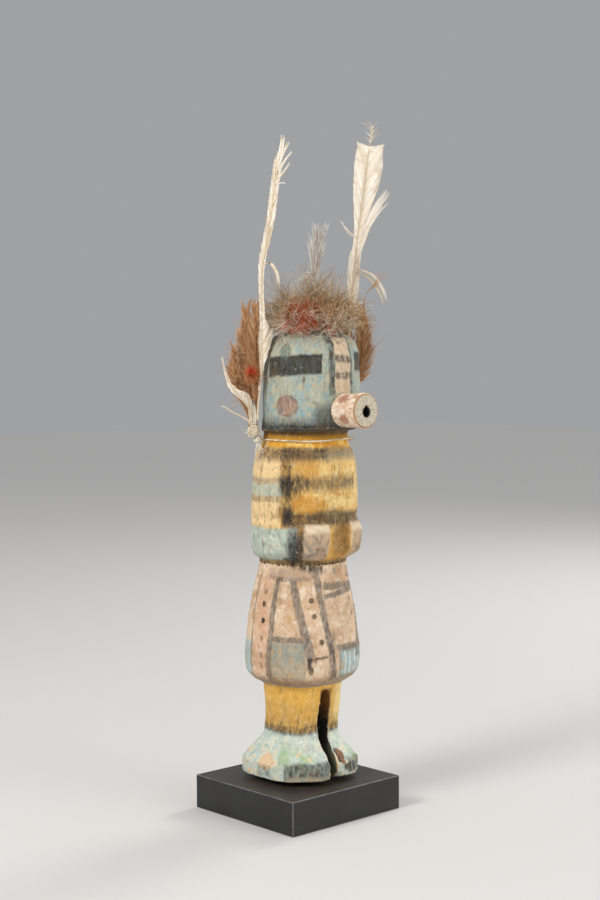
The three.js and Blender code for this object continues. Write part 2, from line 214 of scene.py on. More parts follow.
class Finish:
    """A node material under construction: its ground, and the coats laid over it one by one."""

    def __init__(self, name, roughness, ground):
        self.material = bpy.data.materials.new(name)
        self.material.use_nodes = True
        self.tree = self.material.node_tree
        self.shader = self.tree.nodes["Principled BSDF"]
        self.shader.inputs["Roughness"].default_value = roughness
        self.place = self.tree.nodes.new("ShaderNodeTexCoord").outputs["Object"]
        self.tone = rgb(ground)

    def axes(self, vector):
        node = self.tree.nodes.new("ShaderNodeSeparateXYZ")
        self.tree.links.new(vector, node.inputs["Vector"])
        return [Field(self.tree, node.outputs[axis]) for axis in "XYZ"]

    def mapped(self, place, option, value):
        node = self.tree.nodes.new("ShaderNodeMapping")
        node.inputs[option].default_value = value
        self.tree.links.new(place, node.inputs["Vector"])
        return node.outputs["Vector"]

    def noise(self, scale, detail=3.0, rough=0.55, place=None, stretch=None):
        node = self.tree.nodes.new("ShaderNodeTexNoise")
        node.inputs["Scale"].default_value = scale
        node.inputs["Detail"].default_value = detail
        node.inputs["Roughness"].default_value = rough
        place = place or self.place
        self.tree.links.new(self.mapped(place, "Scale", stretch) if stretch else place, node.inputs["Vector"])
        return Field(self.tree, node.outputs["Fac"])

    def fed(self, socket, value):
        if isinstance(value, bpy.types.NodeSocket):
            self.tree.links.new(value, socket)
        else:
            socket.default_value = value

    def coat(self, under, colour, cover):
        node = self.tree.nodes.new("ShaderNodeMix")
        node.data_type = "RGBA"
        self.tree.links.new(cover.socket, node.inputs["Factor"])
        self.fed(node.inputs["A"], under)
        self.fed(node.inputs["B"], rgb(colour) if isinstance(colour, str) else colour)
        return node.outputs["Result"]

    def lay(self, colour, cover):
        self.tone = self.coat(self.tone, colour, cover)

    def dried(self, height, strength, distance):
        """The finished material, its coats laid and its surface raised by this height."""
        self.fed(self.shader.inputs["Base Color"], self.tone)
        node = self.tree.nodes.new("ShaderNodeBump")
        node.inputs["Strength"].default_value = strength
        node.inputs["Distance"].default_value = distance
        self.tree.links.new(height.socket, node.inputs["Height"])
        self.tree.links.new(node.outputs["Normal"], self.shader.inputs["Normal"])
        return self.material


black_paint = Finish("black satin paint", 0.42, "#131314")
dust = black_paint.noise(60, 5, 0.65)
grit = black_paint.noise(1500, 3, 0.7)
facing = black_paint.axes(black_paint.tree.nodes.new("ShaderNodeNewGeometry").outputs["Normal"])
on_top = facing[2].step(0.6, 0.95)
on_edge = (abs(facing[0]) | abs(facing[1]) | abs(facing[2])).step(0.99, 0.93)
spot = black_paint.axes(black_paint.place)
from_middle = (spot[0].squared() + spot[1].squared()).root()
round_feet = on_top * (from_middle + dust * (14 * mm)).step(42 * mm, 33 * mm)
black_paint.lay("#1d1d1e", dust.step(0.35, 0.7))
black_paint.lay("#38312a", on_top * 0.75)
black_paint.lay("#463a30", round_feet * 0.5)
black_paint.lay("#3c3c3c", grit.step(0.5, 0.72) * 0.34)
black_paint.lay("#8a7762", round_feet * black_paint.noise(1000, 3, 0.75).step(0.6, 0.7) * 0.7)
# the pale line on the eased edges is partly wear and partly a painted highlight
black_paint.lay("#8d8d8c", on_edge * black_paint.noise(150, 3, 0.6).step(0.3, 0.7).scaled(0.45, 0.3))

block_bm = bmesh.new()
bmesh.ops.create_cube(block_bm, size=1)
bmesh.ops.scale(block_bm, vec=[high - low for low, high in zip(block_low, block_high)], verts=block_bm.verts)
bmesh.ops.translate(block_bm, vec=[(low + high) / 2 for low, high in zip(block_low, block_high)],
                    verts=block_bm.verts)
bmesh.ops.bevel(block_bm, geom=block_bm.edges, offset=edge_ease, segments=3, profile=0.5,
                affect="EDGES", material=-1)
finished(block_bm, "plinth_painted", black_paint.dried(grit, 0.2, 0.2 * mm), "plinth", smooth=False)

# ------------------------------------------------------------------------------ the figure
# One piece of cottonwood root, carved with a knife: mask head, neck, arms in relief, kilt, and legs
# parted by a sawn slit. It is the solid's own form, worked finer, rounded by wear and handling.

lean = [(0, 1, -1.1), (19, 1, -1.2), (42, 1.8, -2.9), (104, 1.9, -2.6), (141, 2.4, -4.5),
        (184, 2.7, -5.1), (190.8, 2.8, -5.6), (194, 3.5, -9.4), (247, 3.7, -10.1)]
standing = block_top / mm + 0.3
grain_size = 0.83 * mm


def cad_copy(node):
    """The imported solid's mesh as one merged skin."""
    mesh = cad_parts[node].data.copy()
    bm = bmesh.new()
    bm.from_mesh(mesh)
    bmesh.ops.remove_doubles(bm, verts=bm.verts, dist=0.002 * mm)
    bmesh.ops.recalc_face_normals(bm, faces=bm.faces)
    bm.to_mesh(mesh)
    bm.free()
    return mesh


def worked_finer(mesh, voxel, rounds):
    """The same form in an even fine mesh, its facets smoothed away."""
    carrier = bpy.data.objects.new("carrier", mesh)
    bpy.context.scene.collection.objects.link(carrier)
    remesh = carrier.modifiers.new("fine", "REMESH")
    remesh.mode = "VOXEL"
    remesh.voxel_size = voxel
    soften = carrier.modifiers.new("worn", "SMOOTH")
    soften.factor = 0.5
    soften.iterations = rounds
    result = bpy.data.meshes.new_from_object(carrier.evaluated_get(bpy.context.evaluated_depsgraph_get()))
    bpy.data.objects.remove(carrier)
    return result


def centre_at(height):
    heights = [row[0] for row in lean]
    return (np.interp(height, heights, [row[1] for row in lean]),
            np.interp(height, heights, [row[2] for row in lean]))


def bell(value, centre, width):
    return np.exp(-((value - centre) / width) ** 2)


slit_x = 1.2
figure_mesh = worked_finer(cad_copy("figure"), grain_size, 6)
count = len(figure_mesh.vertices)
points = np.empty(count * 3)
figure_mesh.vertices.foreach_get("co", points)
points = points.reshape(-1, 3) / mm
normals = np.empty(count * 3)
figure_mesh.vertices.foreach_get("normal", normals)
normals = normals.reshape(-1, 3)
height = points[:, 2] - standing
centre_x, centre_y = centre_at(height)
angle = np.degrees(np.arctan2(points[:, 0] - centre_x, -(points[:, 1] - centre_y)))
side = np.abs(angle)

undulation = np.array([
    0.34 * noise.noise(Vector(p) * 0.085) + 0.2 * noise.noise(Vector(p) * 0.26 + Vector((7, 3, 1)))
    + 0.09 * noise.noise(Vector((p[0], p[1], p[2] * 0.35)) * 0.9) for p in points])
worked = np.zeros(count)
# hands standing out from the belly, rounded at the knuckles, with the fingers scored across them
hand_form = bell(side, 29, 12) * bell(height, 133.5, 8.5)
worked += 1.1 * hand_form
worked -= 2.6 * (side < 16) * bell(height, 133, 9.5) * np.clip((16 - side) / 5, 0, 1)
for finger in (129, 132.8, 136.6):
    worked -= 0.3 * bell(height, finger, 0.6) * bell(side, 25, 8)
worked -= 0.55 * bell(side, 45.5, 2.6) * bell(height, 133, 8)
# the knife's ledge over the forearms and its deep line under them
worked -= 0.8 * bell(height, 144.6, 2.4) * (side < 118)
worked -= 1.0 * bell(height, 121.3, 1.5)
# the groove between the chest and the upper arm, and the jaw's undercut
worked -= 0.6 * bell(side, 62, 4) * bell(height, 162, 14)
worked -= 0.8 * bell(height, 190.6, 1.2)
# a drying crack in the cheek, fine ones in the chest, and two deep ones down the back
worked -= 0.8 * bell(angle, -52, 0.9) * bell(height, 219.5, 3.2)
for crack_angle, crack_height, crack_length in ((-37, 170, 9), (-20, 153, 6), (-7, 168, 7), (31, 158, 12),
                                                (-62, 92, 12), (-12, 84, 14), (44, 100, 15), (-66, 210, 8)):
    worked -= 0.5 * bell(angle - 0.12 * (height - crack_height), crack_angle, 0.8) * bell(
        height, crack_height, crack_length)
worked -= 1.1 * bell(angle + 2.5 * np.sin(height / 9), 158, 1.1) * bell(height, 96, 24)
worked -= 0.9 * bell(angle + 1.8 * np.sin(height / 7), -166, 0.9) * bell(height, 160, 17)
# the split chip inside the left foot's toe
worked -= 2.2 * bell(angle, 15, 4.5) * bell(height, 12.5, 4.2)
points += normals * (undulation + worked)[:, None]


def pared(turned_to, reach, low, high):
    """A flat cut with the knife across the feet: nothing is left beyond reach in that direction."""
    toward = np.array([math.sin(math.radians(turned_to)), -math.cos(math.radians(turned_to)), 0])
    beyond = (points - np.stack([centre_x, centre_y, height * 0], 1)) @ toward - reach
    share = np.clip((height - low) / 3, 0, 1) * np.clip((high - height) / 3, 0, 1)
    return -toward * (np.clip(beyond, 0, None) * share)[:, None]


outward = points[:, :2] - np.stack([centre_x, centre_y], 1)
far_out = np.maximum(np.linalg.norm(outward, axis=1), 1e-6)
section = (np.degrees(np.arctan2(outward[:, 0], -outward[:, 1])) // 6).astype(int) + 31
widest = np.zeros(64)
at_widest = (height > 9) & (height < 13)
np.maximum.at(widest, section[at_widest], far_out[at_widest])
widest = np.convolve(np.concatenate([widest[-3:], widest, widest[:3]]), [0.25, 0.5, 0.25], "same")[3:-3]
wall = widest[section] + 0.5 - 0.05 * np.abs(height - 6)
on_wall = (height > 1) & (height < 11) & (far_out > 0.7 * wall) & (np.abs(points[:, 0] - slit_x) > 3.4)
grown = np.where(on_wall, np.maximum(wall, far_out), far_out)
points[:, :2] += outward / far_out[:, None] * (grown - far_out)[:, None]
for turned_to, reach in ((-38, 28.6), (-68, 29.2), (37, 31.5), (74, 31), (128, 31), (180, 26.6)):
    points += pared(turned_to, reach, -4, 15.5)
# the sole is cut back underneath, so that the feet stand on a smaller foot than they show
height = points[:, 2] - standing
outward = points[:, :2] - np.stack([centre_x, centre_y], 1)
far_out = np.maximum(np.linalg.norm(outward, axis=1), 1e-6)
cut_back = np.clip((3.0 - height) / 2.8, 0, 1) ** 0.7 * np.clip((far_out - 10) / 12, 0, 1) * 8.0
points[:, :2] -= outward / far_out[:, None] * cut_back[:, None]
figure_mesh.vertices.foreach_set("co", (points * mm).ravel())

# wrapped round the figure, so that its paint can be laid out like a flat skin
wrap = figure_mesh.uv_layers.new(name="wrap")
for face in figure_mesh.polygons:
    corners = [angle[figure_mesh.loops[loop].vertex_index] for loop in face.loop_indices]
    behind = max(corners) - min(corners) > 180
    for loop, turned in zip(face.loop_indices, corners):
        turned = turned + 360 if behind and turned < 0 else turned
        wrap.data[loop].uv = (turned / 360 + 0.5, height[figure_mesh.loops[loop].vertex_index] / 250)

# ---- the figure's paint: thin matt gouache over a cream ground, laid out on the wrap in degrees
# round the figure and millimetres up it, worn through along edges and stained by age

stroke_tree = bpy.data.node_groups.new("stroke", "ShaderNodeTree")
for name in ("turn", "rise", "start", "lean", "width", "low", "high", "edge", "tilt"):
    stroke_tree.interface.new_socket(name, in_out="INPUT", socket_type="NodeSocketFloat")
stroke_tree.interface.new_socket("cover", in_out="OUTPUT", socket_type="NodeSocketFloat")


def brush_stroke(turn, rise, start, leaning, width, low, high, edge, tilt):
    """One brush stroke: full where turn is within half its width of a line that leans with rise, and
    rise lies between low and high, with soft edges."""
    aside = turn - rise.scaled(leaning, start)
    along = rise - aside.scaled(tilt, (low + high) * 0.5)

    def within(distance, breadth):
        return distance.worked("ADD", (breadth * 0.5 - abs(distance)) / edge, 0.5, clamp=True)

    return within(aside, width) * within(along, high - low)


given = stroke_tree.nodes.new("NodeGroupInput").outputs
cover = brush_stroke(*[Field(stroke_tree, socket) for socket in list(given)[:9]])
stroke_tree.links.new(cover.socket, stroke_tree.nodes.new("NodeGroupOutput").inputs["cover"])


degrees_per_mm = 2.1


class Gouache(Finish):
    """The paint of one part of the figure: its marks, and the grain, stains and wear they share."""

    def __init__(self, name, ground):
        super().__init__(name, 0.82, ground)
        wrapped = self.tree.nodes.new("ShaderNodeUVMap")
        wrapped.uv_map = "wrap"
        turned, raised, _ = self.axes(wrapped.outputs["UV"])
        self.turn = turned.scaled(360.0, -180.0) + (self.wander(120, 5.0, 0.1) + self.wander(600, 2.6, 0.3))
        self.rise = raised * 250.0 + (self.wander(120, 2.4, 0.2) + self.wander(600, 1.3, 0.4))
        self.brushed = self.noise(260, 4, 0.6, stretch=(1, 1, 0.22))
        self.blotch = self.noise(75, 4, 0.62)
        self.patchy = self.noise(210, 5, 0.7)
        self.dry = self.noise(620, 4, 0.62, stretch=(1, 1, 0.4))
        self.speckle = self.noise(1300, 3, 0.7)
        self.gaps = self.dry.step(0.66, 0.36)

    def wander(self, scale, amount, seed):
        """A slow wander that keeps hand-painted edges from running straight."""
        moved = self.mapped(self.place, "Location", (seed, seed * 0.7, seed * 1.3))
        return (self.noise(scale, 2.5, 0.6, moved) - 0.5) * amount

    def stroke(self, from_turn, to_turn, low, high, edge=0.8, width=None, tilt=0.0):
        """A painted field between two turns and two heights, sloping by tilt; or a leaning line from
        (turn, high) to (turn, low), where width is given in degrees."""
        node = self.tree.nodes.new("ShaderNodeGroup")
        node.node_tree = stroke_tree
        if width is None:
            start, leaning, wide = (from_turn + to_turn) / 2, 0, abs(to_turn - from_turn)
        else:
            leaning = (from_turn - to_turn) / (high - low)
            start, wide = to_turn - leaning * low, width
        self.tree.links.new(self.turn.socket, node.inputs["turn"])
        self.tree.links.new(self.rise.socket, node.inputs["rise"])
        for name, value in (("start", start), ("lean", leaning), ("width", wide),
                            ("low", low), ("high", high), ("edge", edge), ("tilt", tilt)):
            node.inputs[name].default_value = value
        return Field(self.tree, node.outputs["cover"])

    def dot(self, at_turn, at_height, across, tall):
        """A round dab of paint, its radii in millimetres."""
        dx, dy = (self.turn - at_turn) / (across * degrees_per_mm), (self.rise - at_height) / tall
        return (dx * dx + dy * dy).step(1.25, 0.75)

    def mark(self, row):
        """A stroke's numbers; or a dot's, after the word "dot"; or either, after the word "twice",
        to have it on the figure's other side as well."""
        if row[0] == "twice":
            flips = (1,) if row[1] == "dot" else (0, 1, 6)
            other = [-part if i in flips else part for i, part in enumerate(row[1:])]
            return self.mark(row[1:]) | self.mark(other)
        return self.dot(*row[1:]) if row[0] == "dot" else self.stroke(*row)

    def marks(self, *rows):
        total = self.mark(rows[0])
        for row in rows[1:]:
            total = total | self.mark(row)
        return total

    def paint(self, *coats):
        """Coats in the order they went on. Each has its colour; how opaque it is; how much the dry
        brush skipped over the grain; a field that it shows through; and its marks."""
        for colour, opaque, skipped, through, *rows in coats:
            cover = self.marks(*rows) if rows else through
            if rows and through:
                cover = cover * through
            if opaque != 1:
                cover = cover * opaque
            if skipped:
                cover = cover * (1.0 - self.gaps * skipped)
            self.lay(colour, cover)

    def aged(self):
        """Paint rubbed off the high edges, dirt and painted shade in the hollows and drying cracks, stains of
        handling.
        """
        checks = self.noise(900, 2, 0.5, stretch=(1, 1, 0.05)).step(0.66, 0.74)
        shape = self.tree.nodes.new("ShaderNodeNewGeometry").outputs["Pointiness"]
        rough_shape = (self.dry - 0.5).scaled(0.03, Field(self.tree, shape))
        self.paint(
            ("#d9bd93", 0.7, 0, rough_shape.step(0.52, 0.545) * self.blotch.step(0.38, 0.58)),
            # dirt with painted shade: the hollows darkened wherever the surface is concave
            ("#33261b", 0.75, 0, rough_shape.step(0.485, 0.44)),
            ("#8d6f4b", 0.28, 0, self.noise(48, 4, 0.6).step(0.56, 0.72)),
            ("#e6d6ba", 0.3, 0, self.noise(520, 4, 0.75).step(0.57, 0.72)),
            ("#54412d", 0.5, 0, self.noise(560, 4, 0.75, stretch=(1, 1, 0.5)).step(0.54, 0.7)),
            ("#453626", 0.32, 0, checks),
            ("#2e241a", 0.55, 0, self.speckle.step(0.66, 0.72)))
        return self.dried(self.brushed * 0.5 + self.dry * 0.5 - checks * 0.5, 0.5, 0.5 * mm)


# legs and feet: yellow legs, a ragged dark line at the ankles, pale blue-green boots; the saw's slit
# between the legs stays unpainted, its bare wood darkened by age and by painted shade, blackest at the ankles
legs = Gouache("gouache on the legs", "#d6b98f")
bare = legs.stroke(-200, 200, -8, 20, 3) * legs.patchy.step(0.57, 0.63)
off_middle = abs(legs.axes(legs.place)[0] - slit_x * mm)
slit_half = legs.rise.step(16, 34).scaled(1.25 * mm, 2.85 * mm)
in_slit = (off_middle - slit_half).step(0.3 * mm, -0.1 * mm) * legs.stroke(-300, 300, -8, 51, 2)
legs.paint(
    ("#d9a748", 1, 0, None, (-200, 200, 14, 60)),
    ("#e7c583", 0.7, 0, legs.patchy.step(0.48, 0.66)),
    ("#b08a4c", 0.5, 0.55, None, (-200, 200, 30, 44, 6)),
    ("#ead08f", 0.8, 0, None, (20, 120, 32, 56, 8)),
    ("#b5c3bb", 1, 0, None, (-200, 200, -8, 28, 1.6)),
    ("#d3d6c4", 1, 0, legs.patchy.step(0.45, 0.62), (-200, 200, -8, 27, 1.6)),
    ("#9db58f", 1, 0, legs.blotch.step(0.5, 0.66), (-70, 60, 8, 22, 4)),
    ("#dbbb93", 1, 0, bare | legs.dot(-88, 12, 6, 4.5) * 0.9),
    ("#3d382e", 0.92, 0.6, None, (-200, 200, 26.6, 31.2, 1.8)),
    ("#5d5240", 0.5, 1.0, None, (-200, 200, 28, 35, 4.0)),
    ("#3a3934", 0.96, 0.42, None, (-60, -7, 3.0, 12.6, 1.6), (22, 60, 4, 12, 2.5)),
    ("#c9b896", 0.7, 0.9, None, (-58, -8, 2.0, 5.4, 1.6)),
    ("#5f6159", 0.8, 0.7, None, (-100, -78, 4, 10, 3)),
    # painted shade: the cut-back underside of the soles is painted near black, as dark as the shadow under
    # the feet
    ("#1d1713", 0.95, 0, None, (-200, 200, -6, 2.0, 1.2)),
    ("#7b4a22", 0.9, 0, None, ("dot", 15.5, 13.5, 2.6, 4.2)),
    ("#1f1913", 0.9, 0, None, ("dot", 20, 7.5, 1.3, 2.2), ("dot", 11, 16, 0.9, 2.6)),
    # the slit's walls: brown bare wood, then painted shade in the narrow gap, near black from 8 to 38 mm up
    # and grey-green lower down
    ("#8b5a1c", 1, 0, in_slit),
    ("#14100c", 1, 0, in_slit, (-300, 300, 8, 38, 10)),
    ("#4a4d3e", 1, 0, in_slit, (-300, 300, -20, 18, 6)))

# kilt: a cream cloth with grey bars, blue-grey panels and dots
kilt = Gouache("gouache on the kilt", "#d0b497")
panels = kilt.marks(("twice", -78, -39.5, 60, 79, 2.2), (1, 45, 57, 74, 1.6))
hem_wear = kilt.noise(190, 4, 0.66, stretch=(1, 1, 0.45)).step(0.52, 0.62)
near_dots = [(-91, h) for h in (105.4, 98.3, 89.6, 80.1, 71, 65)]
far_dots = [(91, h) for h in (104, 97, 88.5, 80, 72, 64)] + [(31, 100), (29, 92)]
dark_dots = ((-31.7, 101.1), (-29.3, 92.7), (-21.5, 79.1), (-91, 89.6), (-91, 98.3))
kilt.paint(
    ("#b59370", 1, 0, kilt.blotch.step(0.4, 0.7)),
    ("#e3d2bb", 0.75, 0, kilt.patchy.step(0.5, 0.64)),
    ("#cf9a78", 0.62, 0.8, None, ("twice", -104, -84, 58, 114, 4.0)),
    ("#c08a6a", 0.5, 0.8, None, ("twice", -98, -86, 84, 112, 5.0)),
    ("#7f8c84", 0.95, 0.35, panels),
    ("#b39266", 0.8, 0, panels * kilt.patchy.step(0.53, 0.62)),
    ("#bda88c", 0.85, 0.8, None, ("twice", -78, -39.5, 56, 67, 6)),
    ("#9a7248", 0.75, 0, hem_wear, ("twice", -82, -38, 54, 68, 5)),
    ("#a9c2c6", 0.7, 0.3, None, (4, 44, 60, 72, 2)),
    ("#e6e6dd", 0.75, 0.55, None, *[(turn, turn + 2.2, 60, 72, 1.2) for turn in (9, 17, 26, 34)]),
    ("#9ab7b9", 0.9, 0.3, None, ("twice", -128, -108.6, 59, 78, 2.0)),
    ("#a78b79", 0.8, 0.5, None, ("twice", -92, -30, 113, 118, 2.0)),
    ("#77706a", 0.85, 0.6, None, ("twice", -78, -30, 111.4, 113.6, 1.2)),
    ("#615b55", 0.92, 0.42, None,
     ("twice", -74.6, -81.5, 56, 112, 1.8, 7), ("twice", -54.8, -32, 68, 112.5, 1.8, 9.5),
     (-25.9, -5.1, 57, 119.5, 1.8, 8.5), ("twice", -76.5, -38, 79, 81.8, 1.0), (-2, 44, 73.2, 76.4, 1.0),
     (-16, 58, 105.6, 109.6, 1.0, None, -0.02), (-15, 56, 102.6, 105.8, 1.0, None, 0.055),
     ("twice", -109, -107, 56, 116, 1.2)),
    ("#4a443e", 0.5, 1.0, None, (-77, -68, 100, 112, 3), (-14, -4, 57, 84, 3)),
    ("#54443c", 0.85, 0.6, None, *[("dot", turn, h, 1.25, 1.7) for turn, h in near_dots + far_dots]),
    ("#2a231f", 0.95, 0.3, None, *[("dot", turn, h, 1.35, 1.5) for turn, h in dark_dots]),
    ("#8b8176", 0.95, 0.55, None, ("dot", 5.5, 115.6, 1.3, 2.2), ("dot", 19, 117.4, 1.2, 2.0)),
    ("#241c17", 0.92, 0.3, None, (-36, -15, 69.6, 71.0, 0.8, None, 0.05), (-38.2, -33.4, 64.5, 71, 1.6),
     ("dot", -33.6, 64, 1.3, 2.2)),
    ("#c09456", 0.62, 0, kilt.noise(150, 4, 0.65).step(0.58, 0.68)),
    ("#54301f", 0.6, 0.9, None, (-96, -62, 111.5, 114.2, 1.2, None, -0.03), (-31, -21, 113, 119, 2.0)),
    ("#1d1815", 1, 0.7, None, (-64, -15, 117.0, 121.6, 2.6, None, -0.1)),
    # painted shade: a brown band along the hem's lower edge
    ("#8f7558", 0.8, 0.6, None, (-200, 200, 52, 58.5, 3.0)),
    ("#8b8480", 0.75, 0.5, None, (-200, 200, 52.5, 55.4, 1.2)))

# torso and arms: yellow, with smoky bands, and arm bands of blue-green; a yellow neck with painted shade
# under the jaw
torso = Gouache("gouache on the torso", "#c79647")
grime = torso.noise(360, 4, 0.68, stretch=(1, 1, 0.4)).step(0.53, 0.66)
torso.paint(
    ("#dbb268", 1, 0, torso.blotch.step(0.4, 0.62)),
    ("#e6cf92", 0.85, 0, torso.patchy.step(0.3, 0.64), (-26, 60, 146, 177, 16)),
    ("#ba842e", 0.8, 0, torso.blotch.step(0.66, 0.4), (-58, -20, 145, 159, 8)),
    ("#e6cb94", 0.75, 0, torso.patchy.step(0.54, 0.68)),
    ("#c08532", 0.6, 0, torso.patchy.step(0.46, 0.34)),
    ("#e8cf9f", 0.85, 0.3, None, ("twice", -135, -69, 140.5, 178, 4.0)),
    ("#a8b4a6", 0.95, 0.25, None, ("twice", -135, -66, 157.2, 163.9, 1.6)),
    ("#77736a", 0.85, 0.5, None, ("twice", -135, -64, 164.0, 167.0, 1.8)),
    ("#6a5f50", 0.8, 0.7, None, ("twice", -135, -68, 154.0, 157.2, 1.4)),
    ("#453d33", 0.9, 0.5, None, (-112, 62, 176.6, 183.4, 3.6)),
    ("#26221e", 0.85, 0.35, None, (-72, -14, 177.2, 182.8, 3.4)),
    ("#a9a892", 0.5, 0.8, None, (-18, 60, 176, 181, 5), (35, 52, 155, 172, 5)),
    ("#5b4d3a", 0.85, 0.5, None, (-70, 30, 160.2, 167.8, 4.2)),
    ("#3f372b", 0.6, 0.8, None, (-68, -38, 160.5, 166.5, 3.4)),
    ("#2f2a23", 0.95, 0.35, None, (-66, 48, 140.6, 148.4, 3.2)),
    ("#4c4437", 0.8, 0.5, None,
     (-40, -4, 146, 150, 3.4, None, 0.06), (-14, 20, 146, 149.6, 3.0, None, -0.07)),
    ("#a6b7ae", 1, 0.15, None, ("twice", -134, -50, 122.0, 140.4, 2.0)),
    ("#c3c9b9", 1, 0, torso.patchy.step(0.48, 0.62), ("twice", -130, -60, 124, 139, 4)),
    ("#b8875c", 1, 0, torso.noise(330, 4, 0.7).step(0.6, 0.68), ("twice", -100, -62, 126, 139, 4)),
    ("#2e3234", 1, 0.45, None, ("twice", -59.5, -42, 121.5, 140.5, 5.0)),
    ("#23221f", 0.95, 0.35, None, ("twice", -56, -44, 121, 134, 4.0)),
    ("#bba184", 1, 0, None, ("twice", -43.5, -15.5, 122.4, 142.0, 1.8)),
    ("#8d8478", 1, 0, torso.patchy.step(0.42, 0.6), ("twice", -43.5, -30, 123.6, 141, 4)),
    # painted highlight: a pale strip along the top of each hand
    ("#d9c6aa", 0.85, 0, None, ("twice", -42, -16, 137.6, 142.0, 2)),
    ("#6e6152", 0.8, 0.6, None, ("twice", -31, -20, 126.5, 130.5, 2.6)),
    # painted shadow: the hands' shade on the belly between them, in brown
    ("#6b4c2b", 0.7, 0.3, None, (-1, 14.8, 124, 142, 6)),
    ("#4f3f2d", 0.55, 0, grime, (-140, -58, 120, 182, 4), ("twice", -44, -15, 122, 138, 3)),
    ("#2b241c", 0.85, 0.6, None, (-70, -56, 144, 178, 7), (-68, -54, 142, 152, 4), (-70, -46, 157, 171, 6)),
    ("#1e1814", 0.9, 0.3, None, (-66, -56, 143.0, 151.5, 3), (-67, -58, 157, 168, 4)),
    ("#6a553b", 0.85, 0.5, None, (-200, 200, 114, 122.4, 1.4)),
    ("#241b15", 0.97, 0.5, None, (-200, 200, 118.6, 121.0, 1.4), (-66, -14, 118.2, 122.8, 2.4, None, -0.08)),
    ("#cf9420", 1, 0, None, (-200, 200, 183.5, 193, 1.2)),
    ("#e0bd6a", 1, 0, torso.patchy.step(0.46, 0.6), (-200, 200, 183.5, 187, 1.6)),
    # painted shade: dark brown on the neck under the jaw
    ("#3a2712", 0.9, 0.2, None, (-200, 200, 188.6, 194.2, 3.4)))

# mask head: a blue-green case with black eyes, a ladder down the brow and cheek discs
head = Gouache("gouache on the mask", "#8fa3a0")
eyes = head.marks((-102, -30.5, 221.8, 232.5, 1.3, None, 0.024), (22.6, 102, 223.2, 233.8, 1.3, None, -0.02))
head.paint(
    ("#a3a592", 1, 0, head.blotch.step(0.38, 0.62)),
    ("#7c9ea4", 0.85, 0, head.patchy.step(0.46, 0.36)),
    ("#b9bda9", 0.7, 0, head.patchy.step(0.52, 0.64)),
    ("#bda27c", 0.8, 0, head.noise(420, 4, 0.72).step(0.54, 0.63)),
    ("#9c8a6b", 0.6, 0.9, None, (-200, 200, 236, 250, 6)),
    ("#74776a", 0.45, 0.8, None, (-200, 200, 239, 252, 4)),
    ("#5b5a51", 0.8, 0.5, None, (-200, 200, 190, 199.5, 4.0)),
    ("#1f1c19", 0.97, 0.2, None, (-200, 200, 188, 196.0, 2.4)),
    # the snout's shadow painted on the face below it, partly a dirt smudge
    ("#38362f", 0.8, 0.3, None, (-38, -14, 192, 206, 7)),
    ("#d6c2a6", 1, 0, None, (-13.5, 12.5, 212, 244, 1.6)),
    ("#a98f70", 0.6, 1.0, None, (-12, 10, 212, 244, 1.6)),
    ("#6f7672", 0.5, 0, head.noise(340, 4, 0.68, stretch=(1, 1, 0.5)).step(0.54, 0.68)),
    ("#45423c", 0.95, 0.6, None,
     (-21.5, -13.2, 211, 245, 2.2), (11.5, 16.5, 211, 245, 1.8), (-19, 14, 241.6, 245.6),
     (-14, 13, 228.4, 232.4, 1.4), (-14, 13, 219.6, 223.4, 1.4)),
    ("#2d2b27", 0.7, 0.9, None,
     (-25, -14, 238, 243, 2.5), (-23, -15, 227, 233, 2.5), (-21, -14, 219, 223, 2.0)),
    ("#23201c", 1, 0.12, eyes),
    ("#57524a", 0.5, 0.55, eyes * head.brushed.step(0.52, 0.66)),
    ("#7b4a3c", 0.85, 0.45, None, ("twice", "dot", -72.8, 205.5, 6.9, 6.1)),
    ("#b79a80", 0.75, 0, head.brushed.step(0.42, 0.6), ("twice", "dot", -72.8, 205.5, 5.2, 4.6)),
    ("#53625a", 0.75, 0.5, None, ("twice", "dot", -77.3, 234.8, 3.8, 4.3)),
    ("#7c5c3c", 0.8, 0.55, None, (-52.8, -51.2, 215, 222, 1.0), ("dot", -52, 219.7, 1.0, 1.6)))

# each zone's paint starts at this height on the figure
painted = ((-9, legs.aged()), (53.6, kilt.aged()), (119.7, torso.aged()), (191.9, head.aged()))
dressed(figure_mesh, "figure_painted", painted[0][1], "figure")
for _, gouache in painted[1:]:
    figure_mesh.materials.append(gouache)
for face in figure_mesh.polygons:
    face.material_index = sum(face.center[2] / mm - standing > low for low, _ in painted) - 1

# ------------------------------------------------------------------------------ the snout
# A turned peg of pale cottonwood stuck into the mask, its end sawn flat and pierced with a
# teardrop hole; the end grain has opened in fine cracks and a patch of red-brown paint is left.

snout_mesh = worked_finer(cad_copy("snout"), 0.32 * mm, 3)
snout_low, snout_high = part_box("snout")
snout_x, snout_z = (snout_low[0] + snout_high[0]) / 2, (snout_low[2] + snout_high[2]) / 2
peg = Finish("pale cottonwood", 0.78, "#c9ab8b")
from_end = peg.mapped(peg.place, "Location", (-snout_x, -snout_low[1], -snout_z))
peg_x, depth, peg_z = peg.axes(from_end)
from_axis = (peg_x.squared() + peg_z.squared()).root()
on_end = depth.step(1.0 * mm, 0.3 * mm)
end_face = on_end * from_axis.step(8.3 * mm, 7.9 * mm)
grain = peg.noise(420, 4, 0.65, stretch=(1, 0.15, 1))
worn = peg.noise(230, 4, 0.7)
ray_noise = peg.tree.nodes.new("ShaderNodeTexNoise")
ray_noise.noise_dimensions = "1D"
ray_noise.inputs["Scale"].default_value = 9
ray_noise.inputs["Detail"].default_value = 3
peg.tree.links.new(peg_x.worked("ARCTAN2", peg_x, peg_z).socket, ray_noise.inputs["W"])
rays = Field(peg.tree, ray_noise.outputs["Fac"])


